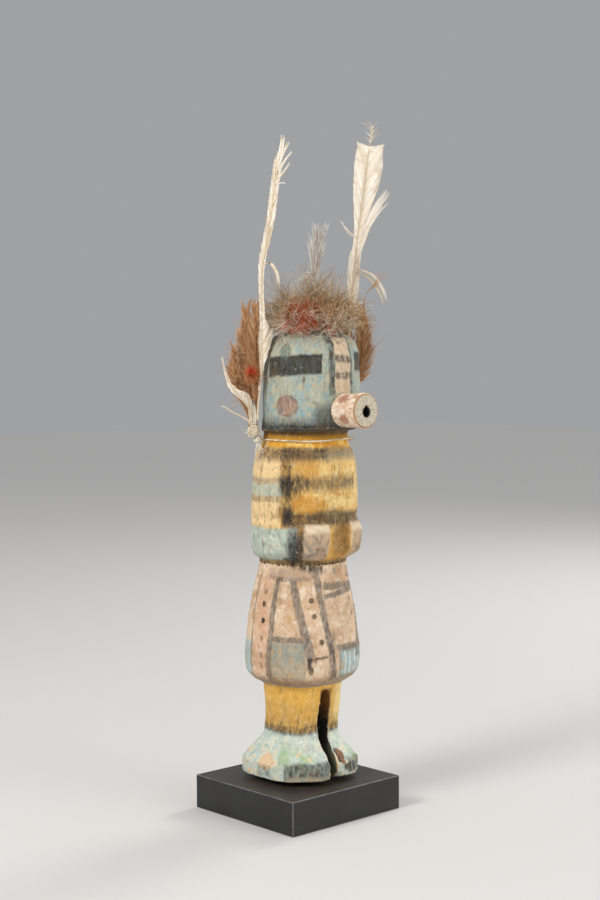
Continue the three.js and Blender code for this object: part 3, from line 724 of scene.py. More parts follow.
def peg_patch(x, y, z, radius):
    """Left-over red-brown paint round one spot, given in millimetres from the middle of the end."""
    node = peg.tree.nodes.new("ShaderNodeVectorMath")
    node.operation = "DISTANCE"
    peg.tree.links.new(from_end, node.inputs[0])
    node.inputs[1].default_value = (x * mm, y * mm, z * mm)
    ragged = (peg.noise(650, 3, 0.7) - 0.5).scaled(4.5 * mm, Field(peg.tree, node.outputs["Value"]))
    return ragged.step((radius + 0.3) * mm, (radius - 0.3) * mm)


peg.lay("#e6d6c2", worn.step(0.36, 0.6))
peg.lay("#c08a6c", peg.noise(300, 4, 0.7).step(0.48, 0.64) * 0.6)
peg.lay("#6b4a34", peg.noise(500, 4, 0.7, stretch=(1, 0.3, 1)).step(0.56, 0.68) * 0.6)
for patch in ((-6.4, 11, 7.2, 3.6), (-8.2, 9, -5, 3.4), (-2, 7, 9.4, 1.6), (8, 8, 5, 3.2),
              (4, 12, -8.6, 2.4)):
    peg.lay("#9a5f45", peg_patch(*patch) * 0.75)
peg.lay("#9a7650", from_axis.step(8.1 * mm, 8.6 * mm) * depth.step(1.0 * mm, 0.5 * mm) * worn.step(0.3, 0.5))
end_grain = peg.coat(rgb("#cfc7b4"), "#b3aa93", peg.noise(900, 3, 0.7).step(0.4, 0.62))
peg.lay(peg.coat(end_grain, "#7f7358", rays.step(0.56, 0.66) * 0.7), end_face)
peg.lay("#5c412c", peg.noise(1100, 3, 0.7).step(0.64, 0.72) * 0.55)
peg.lay("#6a5138", on_end * from_axis.step(3.8 * mm, 2.6 * mm) * 0.5)
teardrop = (peg_x / (2.8 * mm)).squared() + ((peg_z + 0.7 * mm) / (2.9 * mm)).squared()
# painted shade: the inside of the hole is painted near black
peg.lay("#0b0806", depth.step(5 * mm, 4 * mm) * teardrop.step(1.15, 0.9))
peg.lay("#0b0806", depth.step(0.15 * mm, 0.7 * mm) * from_axis.step(5.2 * mm, 4.8 * mm))
dressed(snout_mesh, "snout_peg", peg.dried(grain - rays * end_face * 0.8, 0.45, 0.35 * mm), "snout")

# ------------------------------------------------------------------------------ the neck string
# Two-ply cotton string, once round the neck under the mask and knotted at the left front, with the
# knot's ends frayed to a burr. It lies on the paint all the way round.

neck_height = 187.2
neck_x, neck_y = centre_at(neck_height)
figure_skin = BVHTree.FromObject(bpy.data.objects["figure_painted"], bpy.context.evaluated_depsgraph_get())


def at(x, y, height):
    """A place given in millimetres, its height counted from the block's top."""
    return Vector((x, y, block_top / mm + height)) * mm


def on_neck(degrees, out, height=neck_height):
    heading = Vector((math.sin(math.radians(degrees)), -math.cos(math.radians(degrees)), 0))
    hub = at(neck_x, neck_y, height)
    hit = figure_skin.ray_cast(hub + heading * 0.1, -heading)[0]
    return hit + heading * out * mm


def yarn(name, routes, radius, twist=1.6, plies=2, closed=False):
    """Twisted thread along each route, as a mesh."""
    curve = bpy.data.curves.new(name, "CURVE")
    curve.dimensions = "3D"
    curve.bevel_depth = radius * 0.62
    curve.bevel_resolution = 2
    curve.use_fill_caps = True
    for route in routes:
        steps = len(route)
        for ply in range(plies):
            spline = curve.splines.new("POLY")
            spline.points.add(steps - 1)
            spline.use_cyclic_u = closed
            for i, place in enumerate(route):
                ahead = route[(i + 1) % steps] if closed or i < steps - 1 else route[i]
                back = route[i - 1] if closed or i else route[0]
                along = (ahead - back).normalized()
                aside = along.orthogonal() if abs(along.z) > 0.98 else along.cross(Vector((0, 0, 1)))
                turned = aside.normalized()
                turned.rotate(Matrix.Rotation(2 * math.pi * (ply / plies + i / steps * twist), 3, along))
                spline.points[i].co = (*(place + turned * radius * (0.5 if plies > 1 else 0)), 1)
    carrier = bpy.data.objects.new(name, curve)
    bpy.context.scene.collection.objects.link(carrier)
    mesh = bpy.data.meshes.new_from_object(carrier.evaluated_get(bpy.context.evaluated_depsgraph_get()))
    bpy.data.objects.remove(carrier)
    return mesh


def joined(name, *meshes):
    bm = bmesh.new()
    for mesh in meshes:
        bm.from_mesh(mesh)
    result = bpy.data.meshes.new(name)
    bm.to_mesh(result)
    bm.free()
    return result


def cotton(name, dark, pale):
    finish = Finish(name, 0.9, dark)
    fibre = finish.noise(2600, 2, 0.6, stretch=(1, 1, 2.5))
    finish.lay(pale, finish.noise(260, 3, 0.6).step(0.36, 0.62))
    finish.lay("#7a6444", fibre.step(0.46, 0.3) * 0.45)
    finish.shader.inputs["Sheen Weight"].default_value = 0.25
    return finish.dried(fibre, 0.6, 0.15 * mm)


def frayed(root, heading, length, count, spread, seed):
    """Loose fibres that stand out from a cut end of yarn."""
    chance = random.Random(seed)
    fibres = []
    for _ in range(count):
        bend = Vector([chance.uniform(-1, 1) for _ in range(3)]) * spread
        droop = Vector([chance.uniform(-1, 1) for _ in range(3)]) * spread
        reach = length * chance.uniform(0.55, 1.0)
        fibres.append([root + (heading * s + bend * s * s * 0.7 + droop * s ** 3 * 0.5) * reach
                       for s in (0, 0.25, 0.5, 0.75, 1)])
    return fibres


string_cotton = cotton("soiled string", "#b9a27a", "#e6dcc4")
ring = [on_neck(a, 0.8, neck_height + 0.35 * math.sin(math.radians(3 * a + 20))) for a in range(0, 360, 3)]
string = yarn("string", [ring], 0.5 * mm, twist=46, closed=True)
burr_root = on_neck(46, 1.2)
burr_out = (burr_root - at(neck_x, neck_y, neck_height)).normalized()
burr_loops = []
for k in range(3):
    tilt = Matrix.Rotation(k * 1.1, 3, burr_out)
    burr_loops.append([
        burr_root + tilt @ Vector((math.cos(a) * 0.9, math.sin(a) * 0.5, math.sin(a) * 0.9)) * mm
        for a in np.linspace(0, 2 * math.pi, 16, endpoint=False)])
burr = yarn("burr", burr_loops, 0.42 * mm, twist=5, closed=True)
ends = yarn("ends", frayed(burr_root, burr_out, 2.4 * mm, 26, 1.0, 5), 0.07 * mm, plies=1)
dressed(joined("string", string, burr, ends), "neck_string_cotton", string_cotton, "neck_string")

# ------------------------------------------------------------------------------ the ear ties
# On each side a hank of unspun white cotton is wound round the feathers' quills in one fat knot and
# a small one under it, and its loose tail hangs down beside the neck.

white_cotton = cotton("white cotton yarn", "#cfc0a2", "#eee6d4")


def on_side(side, x, y, height):
    return at(x if side < 0 else 2 * neck_x - x, y, height)


def wound_knot(centre, radius, tall, windings, seed):
    chance = random.Random(seed)
    routes = []
    for k in range(windings):
        tilt = Matrix.Rotation(chance.uniform(-0.9, 0.9), 3, "X") @ Matrix.Rotation(
            chance.uniform(-0.9, 0.9), 3, "Y") @ Matrix.Rotation(k * 1.3, 3, "Z")
        lift = chance.uniform(-0.45, 0.45)
        hoop = math.sqrt(1 - lift ** 2)
        routes.append([centre + Vector([c * r for c, r in zip(
            tilt @ Vector((math.cos(a) * hoop, math.sin(a) * hoop, lift + 0.06 * math.sin(3 * a + k))),
            (radius, radius, tall))]) * mm * (0.84 + 0.12 * math.sin(2 * a + k))
            for a in np.linspace(0, 2 * math.pi, 30, endpoint=False)])
    core = bmesh.new()
    bmesh.ops.create_icosphere(core, subdivisions=3, radius=1)
    bmesh.ops.scale(core, vec=(radius * 0.84 * mm, radius * 0.84 * mm, tall * 0.84 * mm), verts=core.verts)
    bmesh.ops.translate(core, vec=centre, verts=core.verts)
    mesh = bpy.data.meshes.new("core")
    core.to_mesh(mesh)
    core.free()
    return mesh, routes


chance_thread = random.Random(77)


def ear_tie(side, name, node):
    upper, upper_wraps = wound_knot(on_side(side, -27.3, 3.4, 192.6), 3.1, 4.4, 11, 11)
    lower, lower_wraps = wound_knot(on_side(side, -24.8, 3.1, 187.8), 2.2, 2.3, 6, 23)
    wraps = yarn("wraps", upper_wraps + lower_wraps, 0.5 * mm, twist=14, closed=True)
    bends = [(-24.8, 3, 187), (-25.3, 2.6, 185), (-25.6, 2.2, 183), (-25.6, 1.6, 180.8), (-25.4, 1, 178.9)]
    tails = []
    for k, (dx, dy) in enumerate(((0, 0), (1.5, -1.1), (-0.7, 0.6), (2.6, -2.0))):
        tails.append([on_side(side, x + dx * i * 0.5, y + dy * i * 0.5, h - 0.3 * k)
                      for i, (x, y, h) in enumerate(bends)])
    hanging = yarn("tail", tails, 0.26 * mm, twist=4)
    fibres = []
    for k, tail in enumerate(tails):
        fibres += frayed(tail[-1], Vector((0, 0, -1)), 4.2 * mm, 12, 0.5, 31 + k)
        fibres += frayed(tail[1], Vector((0.2 * side, -0.3, -0.9)), 6 * mm, 6, 0.5, 81 + k)
    for k, angle_out in enumerate((0.5, 2.2, 3.9, 5.4)):
        out_x, out_y = math.cos(angle_out), math.sin(angle_out)
        root = on_side(side, -27.5, 3.5, 191) + Vector((out_x, out_y, 0.1)) * 2.6 * mm
        fibres += frayed(root, Vector((out_x, out_y, 0.2)), 2.6 * mm, 9, 0.8, 51 + k)
    for k in range(9):
        # long single threads that fall over the painted shoulder
        sweep, drop = chance_thread.uniform(-14, 22), chance_thread.uniform(6, 12)
        fibres.append([on_neck(side * (101 - sweep * s ** 1.5), 0.35 + 0.5 * math.sin(3 * s + k),
                               186.5 - drop * s) for s in (0, 0.2, 0.4, 0.6, 0.8, 1)])
    loose = yarn("loose", fibres, 0.1 * mm, plies=1)
    dressed(joined(name, upper, lower, wraps, hanging, loose), name, white_cotton, node)


ear_tie(-1, "ear_tie_right", "tie_right")
ear_tie(1, "ear_tie_left", "tie_left")

# ------------------------------------------------------------------------------ the tall plumes
# Two long stiff white feathers stand over the head. Each is a bare quill and shaft with flat barbs
# down both sides: narrow and saw-toothed on the right, stripped low down and broad at the tip on
# the left, where some barbs have split off.


def spline(points, share):
    """A point and a heading on the smooth curve through these points."""
    points = np.array([list(p) for p in points])
    knots = np.concatenate([[0], np.cumsum(np.linalg.norm(np.diff(points, axis=0), axis=1))])
    slopes = np.gradient(points, knots, axis=0)
    t = np.clip(share, 0, 1) * knots[-1]
    i = min(np.searchsorted(knots, t, side="right") - 1, len(points) - 2)
    span = knots[i + 1] - knots[i]
    s = (t - knots[i]) / span
    place = ((2 * s ** 3 - 3 * s ** 2 + 1) * points[i] + (s ** 3 - 2 * s ** 2 + s) * span * slopes[i]
             + (3 * s ** 2 - 2 * s ** 3) * points[i + 1] + (s ** 3 - s ** 2) * span * slopes[i + 1])
    heading = ((6 * s ** 2 - 6 * s) * points[i] / span + (3 * s ** 2 - 4 * s + 1) * slopes[i]
               + (6 * s - 6 * s ** 2) * points[i + 1] / span + (3 * s ** 2 - 2 * s) * slopes[i + 1])
    return Vector(place), Vector(heading).normalized()


class Down:
    """A feather or tuft under construction: barbs are flat ribbons whose map runs across by tint and
    up from root to tip."""

    tints = 32

    def __init__(self, seed):
        self.bm = bmesh.new()
        self.strand = self.bm.loops.layers.uv.new("strand")
        self.chance = random.Random(seed)

    def any_way(self):
        return Vector([self.chance.gauss(0, 1) for _ in range(3)])

    def ribbon(self, route, widths, flat, tint=None, from_share=0.0):
        tint = self.chance.randrange(self.tints) if tint is None else tint
        rows = len(route)
        made = bmesh.ops.create_grid(self.bm, x_segments=1, y_segments=rows - 1, size=1)["verts"]
        for i, (place, width) in enumerate(zip(route, widths)):
            made[2 * i].co = place - flat * width / 2
            made[2 * i + 1].co = place + flat * width / 2
        number = {vert: k for k, vert in enumerate(made)}
        for face in {face for vert in made for face in vert.link_faces}:
            for loop in face.loops:
                k = number[loop.vert]
                share = from_share + (1 - from_share) * (k // 2) / (rows - 1)
                loop[self.strand].uv = ((tint + 0.15 + 0.7 * (k % 2)) / self.tints, share)

    def shaft(self, points, base, tip, tint=0, rows=40):
        """The quill and shaft, a tapering tube of six sides."""
        ring = bmesh.ops.create_circle(self.bm, cap_ends=True, segments=6, radius=1)["verts"]
        place, heading = spline(points, 0)
        turn_to = heading.to_track_quat("Z", "Y")
        edges = list(dict.fromkeys(edge for vert in ring for edge in vert.link_edges))
        for vert in ring:
            vert.co = place + turn_to @ vert.co * base
        for i in range(1, rows + 1):
            grown = bmesh.ops.extrude_edge_only(self.bm, edges=edges)["geom"]
            ring = [item for item in grown if isinstance(item, bmesh.types.BMVert)]
            edges = [item for item in grown if isinstance(item, bmesh.types.BMEdge)
                     and item.verts[0] in ring and item.verts[1] in ring]
            old_place, old_turn, old_size = place, turn_to, base + (tip - base) * (i - 1) / rows
            place, heading = spline(points, i / rows)
            turn_to = heading.to_track_quat("Z", "Y")
            size = base + (tip - base) * i / rows
            for vert in ring:
                vert.co = place + turn_to @ (old_turn.inverted() @ (vert.co - old_place)) * (size / old_size)
        bmesh.ops.contextual_create(self.bm, geom=edges)
        for face in self.bm.faces:
            for loop in face.loops:
                if loop[self.strand].uv.length == 0:
                    loop[self.strand].uv = ((tint + 0.5) / self.tints, 0.02)

    def vane(self, points, across, half_width, start=0.0, end=1.0, per_mm=2.2, rake=30, cup=0.0,
             messy=0.04, fine=0.5, sides=(-1, 1), segments=5, tints=(0, 32), hook=0.12, wild=0.0, top=None):
        """Barbs down both sides of the shaft. half_width(share, side) is in millimetres, and says how
        far the barbs' tips stand from the shaft at that height; top is the share where a worn-off
        vane ends, whatever height its barbs would reach."""
        length = sum((Vector(a) - Vector(b)).length for a, b in zip(points, points[1:])) / mm
        count = int(length * (end - start) * per_mm)
        for k in range(count):
            for side in sides:
                share = start + (end - start) * (k + self.chance.random() * 0.8) / count
                place, heading = spline(points, share)
                aside = (across - heading * across.dot(heading)).normalized()
                facing = aside.cross(heading)
                lock = noise.noise(Vector((share * length * 0.16, side * 9.1, 3.7)))
                raked = math.radians(rake + (4 + 40 * messy) * lock + self.chance.gauss(0, 24 * messy))
                raked = max(0.2, min(1.4, raked))
                reach = half_width(share, side)
                tip_share = share + reach / math.tan(raked) / length
                if top and tip_share > top:
                    reach = (top - share) * length * math.tan(raked) * mm
                else:
                    reach = half_width(min(1.0, tip_share), side) * mm
                if reach <= 0.12 * mm:
                    continue
                out = heading * math.cos(raked) + aside * side * math.sin(raked)
                long = reach / math.sin(raked) * self.chance.uniform(1 - messy * 2.5, 1 + messy * 0.5)
                lift = facing * long * (cup + self.chance.gauss(0, messy * 0.5))
                stray = self.any_way() * long * wild
                route = [place + out * long * s + heading * long * hook * s * s + lift * s * s
                         + stray * s ** 3 for s in [j / segments for j in range(segments + 1)]]
                flat = (heading - out * heading.dot(out)).normalized()
                widths = [fine * mm * (1.0 - 0.7 * (j / segments) ** 1.5) for j in range(segments + 1)]
                self.ribbon(route, widths, flat, self.chance.randrange(*tints))

    def lock(self, points, breadth, strands, facing, splay=0.5, tints=(0, 32), fine=0.5):
        """A few barbs that cling together along one line and part a little at the tip."""
        line = [at(*p) for p in points]
        for k in range(strands):
            offset = (k + 0.5) / strands - 0.5
            reach = self.chance.uniform(0.86, 1.0)
            route = []
            for j in range(9):
                place, heading = spline(line, reach * j / 8)
                aside = facing.cross(heading).normalized()
                swell = math.sin(math.pi * min(1, 0.12 + 0.7 * j / 8)) + splay * (j / 8) ** 4
                route.append(place + aside * offset * breadth * swell * mm)
            self.ribbon(route, [fine * mm * (1.0 - 0.65 * (j / 8) ** 2) for j in range(9)], aside,
                        self.chance.randrange(*tints))

    def made(self, name, material, *nodes, thickness=0.07):
        piece = finished(self.bm, name, material, *nodes)
        layers = piece.data.uv_layers
        baked = layers.new(name="OFBake")
        uvs = np.empty(len(piece.data.loops) * 2, dtype=np.float32)
        layers["strand"].data.foreach_get("uv", uvs)
        baked.data.foreach_set("uv", uvs)
        layers.active = layers["strand"]
        layers["strand"].active_render = True
        solid = piece.modifiers.new("barb thickness", "SOLIDIFY")
        solid.thickness = thickness * mm
        solid.offset = 0
        return piece


def down_finish(name, tints, root, soiling):
    """Feather colour: the tint of each barb, soiled towards the shaft, in fine streaks."""
    finish = Finish(name, 0.75, root)
    strand = finish.tree.nodes.new("ShaderNodeUVMap")
    strand.uv_map = "strand"
    across, up, _ = finish.axes(strand.outputs["UV"])
    ramp = finish.tree.nodes.new("ShaderNodeValToRGB")
    ramp.color_ramp.interpolation = "CONSTANT"
    for i, (share, hexed) in enumerate(tints):
        stop = ramp.color_ramp.elements[i] if i < 2 else ramp.color_ramp.elements.new(share)
        stop.position = share
        stop.color = rgb(hexed)
    finish.tree.links.new(across.socket, ramp.inputs["Fac"])
    finish.tone = ramp.outputs["Color"]
    finish.lay(root, up.step(0.55, 0.0) * soiling)
    finish.lay(root, finish.noise(130, 4, 0.65).step(0.5, 0.68) * 0.55)
    return finish.dried(finish.noise(1800, 2, 0.5), 0.25, 0.1 * mm)


broadside = Vector((0.74, -0.67, 0)).normalized()
vane_facing = broadside.cross(Vector((0, 0, 1)))
white_plume = down_finish("white plume", [(0, "#d9cab2"), (0.2, "#efe6d8"), (0.45, "#e4d8c5"),
                                          (0.7, "#f3ede2"), (0.9, "#c9b190")], root="#c9b694", soiling=0.35)


quill_foot, tie_top = 190.6, 197.5


def rooted(side, x, y, route):
    """A feather's line: its quill stands in the tie, and goes on through the route."""
    return [on_side(side, x, y, height) for height in (quill_foot, tie_top)] + [at(*p) for p in route]


def smooth(value, low, high):
    share = min(1, max(0, (value - low) / (high - low)))
    return share * share * (3 - 2 * share)


right_line = rooted(-1, -26.4, 1, [(-25.4, -2.2, 229), (-24.8, -1.6, 255), (-24, -1, 278),
                                   (-20.9, -3.9, 303), (-17.5, -7, 333), (-15.1, -9.2, 349.6)])


def right_width(share, side):
    if side < 0:
        teeth = 0.8 + 0.35 * ((share * 27) % 1)
        return (1.1 + 1.2 * smooth(share, 0.3, 0.8)) * teeth * (1 - 0.5 * smooth(share, 0.9, 0.98))
    return (1.0 + 1.2 * smooth(share, 0.42, 0.72)) * (1 - 0.6 * smooth(share, 0.88, 0.97))


plume = Down(3)
plume.shaft(right_line, 0.6 * mm, 0.18 * mm)
plume.vane(right_line, broadside, right_width, start=0.2, end=0.97, per_mm=3.4, rake=14, fine=0.6,
           messy=0.025)
for points, breadth, strands in (
        ([(-17.9, -6.7, 329), (-17, -7.6, 336), (-15.9, -8.6, 343), (-15, -9.2, 350.6)], 1.3, 6),
        ([(-17.9, -6.7, 329), (-16.6, -7.9, 336), (-15, -9.4, 342), (-12.6, -11.6, 347.5)], 1.2, 5),
        ([(-17.9, -6.7, 327), (-16.2, -8.2, 333), (-14, -10.2, 338), (-11.6, -12.2, 341.5)], 0.9, 3),
        ([(-18.3, -6.3, 323), (-16.9, -7.7, 328), (-15.1, -9.3, 331), (-12.4, -11.8, 336)], 0.8, 3),
        ([(-18.6, -6.1, 320), (-17.3, -7.3, 324), (-16, -8.6, 325), (-14.2, -10.3, 324)], 0.4, 2),
        ([(-24.2, -0.8, 280.5), (-21.6, -3.9, 282.5), (-19.2, -6.8, 278), (-18.2, -7.7, 268.6)], 1.5, 6)):
    plume.lock(points, breadth, strands, vane_facing, splay=0.9)


def drop_width(share, side):
    return float(np.interp(213 + 52 * share, (220, 226, 231, 237, 243, 251, 259, 266),
                           (0.3, 1.5, 3.2, 4.8, 5.0, 3.4, 1.3, 0.3)))


drop_line = [at(-26.3, 0.4, 213), at(-25.6, -2.2, 232), at(-24.9, -2.4, 265)]
plume.vane(drop_line, broadside, drop_width, start=0.02, end=0.96, per_mm=3.4, rake=24, fine=0.55,
           sides=(1,), messy=0.07, cup=0.12)
plume.vane(drop_line, broadside, lambda share, side: 0.5 * drop_width(share, side), start=0.02, end=0.8,
           per_mm=2.6, rake=20, fine=0.5, sides=(-1,), messy=0.1)
plume.made("tall_plume_right_feather", white_plume, "tall_plume_right")

left_line = rooted(1, -26.4, 1, [(35.8, -1.6, 225), (37.9, -4.9, 249), (38.3, -8, 280), (39.4, -9.7, 298),
                                 (41.7, -11.8, 319), (43.4, -13.4, 338), (45.8, -15.5, 360)])


def left_width(share, side):
    """Half widths up the feather: bare, a strip of close barbs, and the broad vane with its top cut."""
    shares = (0.33, 0.37, 0.42, 0.5, 0.58, 0.62, 0.645, 0.70, 0.76, 0.84, 0.91, 0.95)
    left = (0, 1.4, 3.3, 3.6, 3.2, 2.2, 2.0, 4.4, 6.6, 7.4, 6.8, 5.8)
    right = (0, 1.0, 3.0, 3.4, 3.2, 2.6, 2.0, 5.2, 7.3, 8.6, 8.2, 7.2)
    return float(np.interp(share, shares, left if side < 0 else right))


plume = Down(4)
plume.shaft(left_line, 0.6 * mm, 0.16 * mm)
plume.vane(left_line, broadside, left_width, start=0.3, end=0.6, per_mm=3.4, rake=15, fine=0.7, messy=0.03)
plume.vane(left_line, broadside, left_width, start=0.6, end=0.93, per_mm=3.8, rake=25, fine=0.72,
           messy=0.016, tints=(7, 28), top=0.932)
for k in range(22):
    # the frayed tip: short barbs that curl away to both sides
    place, heading = spline(left_line, 0.94 + 0.055 * k / 22)
    aside = broadside * plume.chance.choice((-1, 1)) * plume.chance.uniform(0.2, 1.5)
    curl_out = (aside + vane_facing * plume.chance.uniform(-0.5, 0.5)) * plume.chance.uniform(0.4, 1.0)
    reach = plume.chance.uniform(4, 7) * mm
    plume.ribbon([place + (heading * s * (1.1 - 0.5 * s) + aside * s * 0.5 + curl_out * s * s * 0.45) * reach
                  for s in (0, 0.2, 0.4, 0.6, 0.8, 1)], [0.34 * mm * (1 - 0.12 * j) for j in range(6)],
                 heading.cross(vane_facing).normalized(), plume.chance.choice((1, 3, 12, 24, 30)))
for points, breadth, strands in (
        ([(38.7, -8.9, 284), (41.6, -12.2, 298), (45.6, -16.1, 312), (51.8, -21.7, 324.3)], 3.4, 11),
        ([(38.9, -9, 288), (43.2, -14.1, 303), (47.4, -17.9, 312), (51.4, -21.4, 318)], 1.6, 5),
        ([(39.3, -9.6, 297.5), (34.7, -6.1, 302.7), (31.4, -3.7, 308)], 0.5, 2),
        ([(39.3, -9.6, 297.5), (35.7, -6.9, 300.0), (33.2, -5.2, 304.5), (32.4, -4.4, 309)], 0.5, 1),
        ([(38.6, -9, 281.5), (46, -16.5, 276.3), (49.2, -19.4, 269.6), (51.5, -21.5, 261.2)], 1.5, 4),
        ([(38.6, -9, 279.5), (44, -14.5, 275.3), (48.6, -18.8, 266), (50.3, -20.3, 259.4)], 1.2, 3)):
    plume.lock(points, breadth, strands, vane_facing, splay=0.7)
plume.made("tall_plume_left_feather", white_plume, "tall_plume_left")

# ------------------------------------------------------------------------------ the down feathers
# Soft brown body feathers stand behind the ears, three on the right and two on the left. Their
# barbs are loose and fluffy below and closer at the tips, and a red-dyed one shows at the right ear.

brown_down = down_finish("brown down", [
    (0, "#9d7048"), (0.2, "#b98a5e"), (0.42, "#cda277"), (0.62, "#ac7b4c"), (0.78, "#d6b48c"),
    (0.84, "#c2703c"), (0.9, "#c4391c")], root="#a87c4f", soiling=0.4)
brown, orange, red = (0, 27), (27, 29), (29, 32)


def soft_feather(side, x, y, route, widest, seed, extra=()):
    line = rooted(side, x, y, route)
    down = Down(seed)
    down.shaft(line, 0.55 * mm, 0.12 * mm, rows=20)

    def width(share, _):
        return (0.3 + widest * smooth(share, 0.14, 0.5)) * (1 - 0.62 * smooth(share, 0.74, 1.02))

    down.vane(line, broadside, width, start=0.1, end=0.955, per_mm=4.4, rake=24, messy=0.09, fine=0.45,
              tints=brown, wild=0.03, top=1.03)
    down.vane(line, broadside, lambda share, s: width(share, s) * 1.12, start=0.1, end=0.94, per_mm=3.0,
              rake=34, messy=0.3, fine=0.16, tints=brown, wild=0.2, hook=0.25)
    down.vane(line, camera_back, lambda share, s: width(share, s) * 0.55, start=0.12, end=0.85, per_mm=1.6,
              rake=26, messy=0.3, fine=0.3, tints=brown, wild=0.1)
    for tints, place, reach, strands in extra:
        for _ in range(strands):
            heading = down.any_way().normalized()
            root = at(*place) + heading * down.chance.random() * reach * 0.4 * mm
            bend = down.any_way() * reach * 0.3 * mm
            fibre = [root + (heading * reach * s * mm + bend * s * s) for s in (0, 0.25, 0.5, 0.75, 1)]
            down.ribbon(fibre, [0.3 * mm * (1 - 0.15 * j) for j in range(5)],
                        bend.cross(heading).normalized(), down.chance.randrange(*tints))
    return down


for name, *shape in (
        ("right_inner", -1, -25.8, 3.1, [(-26, 2.4, 230), (-26, 2.4, 263)], 4.4, 21),
        ("right_back", -1, -26.5, 5.4, [(-27, 8, 232), (-27.5, 8.6, 260.6)], 5.4, 22),
        ("right_outer", -1, -28.5, 5.6, [(-32.8, 11.2, 222), (-33.4, 11.8, 239)], 3.4, 23,
         [(red, (-30.6, 0.4, 224.6), 2.4, 100), (orange, (-29.6, 1.6, 222.5), 5.0, 110),
          (brown, (-33.4, 8.4, 218), 5.0, 60), (brown, (-32.4, 7, 209), 5.5, 50),
          (brown, (-33.4, 10.4, 234), 5.0, 40)]),
        ("left_outer", 1, -28.5, 5.6, [(43.4, -6.8, 226), (44.6, -8.2, 246), (43.9, -7.5, 262)], 4.6, 24,
         [(brown, (43.5, -8.5, 252), 7.0, 50)]),
        ("left_back", 1, -26.5, 5.4, [(38.2, 1.8, 228), (42.2, 0.2, 256)], 4.6, 25)):
    down = soft_feather(*shape)
    if name == "left_outer":
        # seven long barbs have come loose together at its tip
        for spread in range(7):
            down.lock([(43.5, -10.1, 259 + spread * 0.7), (43.5, -12.8, 267.7),
                       (45.8, -17.7, 271.5 + spread * 0.4),
                       (50.2 - spread * 0.8, -24.4 + spread, 278.6 + spread * 0.5)],
                      0.8, 1, vane_facing, tints=brown, fine=0.24)
    down.made(f"down_feather_{name}_barbs", brown_down, f"down_feather_{name}")

# ------------------------------------------------------------------------------ the curl and bare quill
# A small white feather curves out behind the right ear, and under it sticks out a quill that has
# lost all its barbs.

curl_line = rooted(-1, -28.1, 3.6, [(-29.9, 3.6, 204), (-34.7, 4.7, 210), (-39.1, 6.1, 215.3),
                                    (-43.1, 7, 222.8), (-45.5, 7.2, 231.6)])
curl = Down(31)
curl.shaft(curl_line, 0.6 * mm, 0.2 * mm, rows=24)
curl.vane(curl_line, broadside,
          lambda share, side: (1.1 + 0.7 * smooth(share, 0.2, 0.4)) * (1 - 0.85 * smooth(share, 0.5, 1)),
          start=0.04, end=0.985, per_mm=4.0, rake=8, messy=0.012, fine=0.62)
curl.lock([(-27.2, 3.3, 194.5), (-27.7, 3.4, 200), (-28.7, 3.5, 206.5)], 4.2, 12, vane_facing)
curl.made("white_curl_feather", white_plume, "white_curl_feather_right")

quill_line = rooted(-1, -30.1, 3.8, [(-32, 5, 199.2), (-37.2, 7, 201.9), (-44, 9.1, 206.1)])
quill = Down(32)
quill.shaft(quill_line, 0.55 * mm, 0.28 * mm, rows=20)
quill.vane(quill_line, broadside, lambda share, side: 0.9, start=0.7, end=0.98, per_mm=0.8, rake=30,
           fine=0.16)
quill.made("bare_quill_stub", white_plume, "bare_quill_right")

# ------------------------------------------------------------------------------ the crest
# A shock of fine down is glued on the crown: brown-grey, a tuft dyed red-orange in the middle and
# pale strands low round the edge, with one long grey feather, thin of barbs, standing out of it.

crest_colours = down_finish("crest down", [
    (0, "#80603a"), (0.14, "#a07e50"), (0.3, "#bf9c68"), (0.46, "#8c6a40"), (0.6, "#cdb287"),
    (0.72, "#ae4318"), (0.8, "#c95418"), (0.875, "#e6dccb")], root="#8c6a40", soiling=0.3)
noise.seed_set(5)  # noise_vector shifts with the clock unless it is seeded
crown_x, crown_y = centre_at(247)
crown = at(crown_x, crown_y, 246.4)


def outward_at(turn):
    return Vector((math.sin(turn), -math.cos(turn), 0))


def hair(tuft, root, heading, long, waviness, tint, width=0.17, droop=0.0, steps=6):
    """One fine, wavy fibre of down, bending with its neighbours and a little with itself."""
    route, place = [root], root
    own = tuft.any_way() * 0.3
    for j in range(steps):
        shared = noise.noise_vector(place / mm * 0.16 + Vector((3, 1, 8))) * 1.3
        heading = heading + (shared + own * (0.4 + j / steps)) * waviness
        heading = (heading + Vector((0, 0, -droop)) * (j / steps)).normalized()
        place = place + heading * long / steps * mm
        route.append(place)
    aside = tuft.any_way().cross(heading).normalized()
    tuft.ribbon(route, [width * mm * (1 - 0.7 * j / steps) for j in range(steps + 1)], aside, tint)


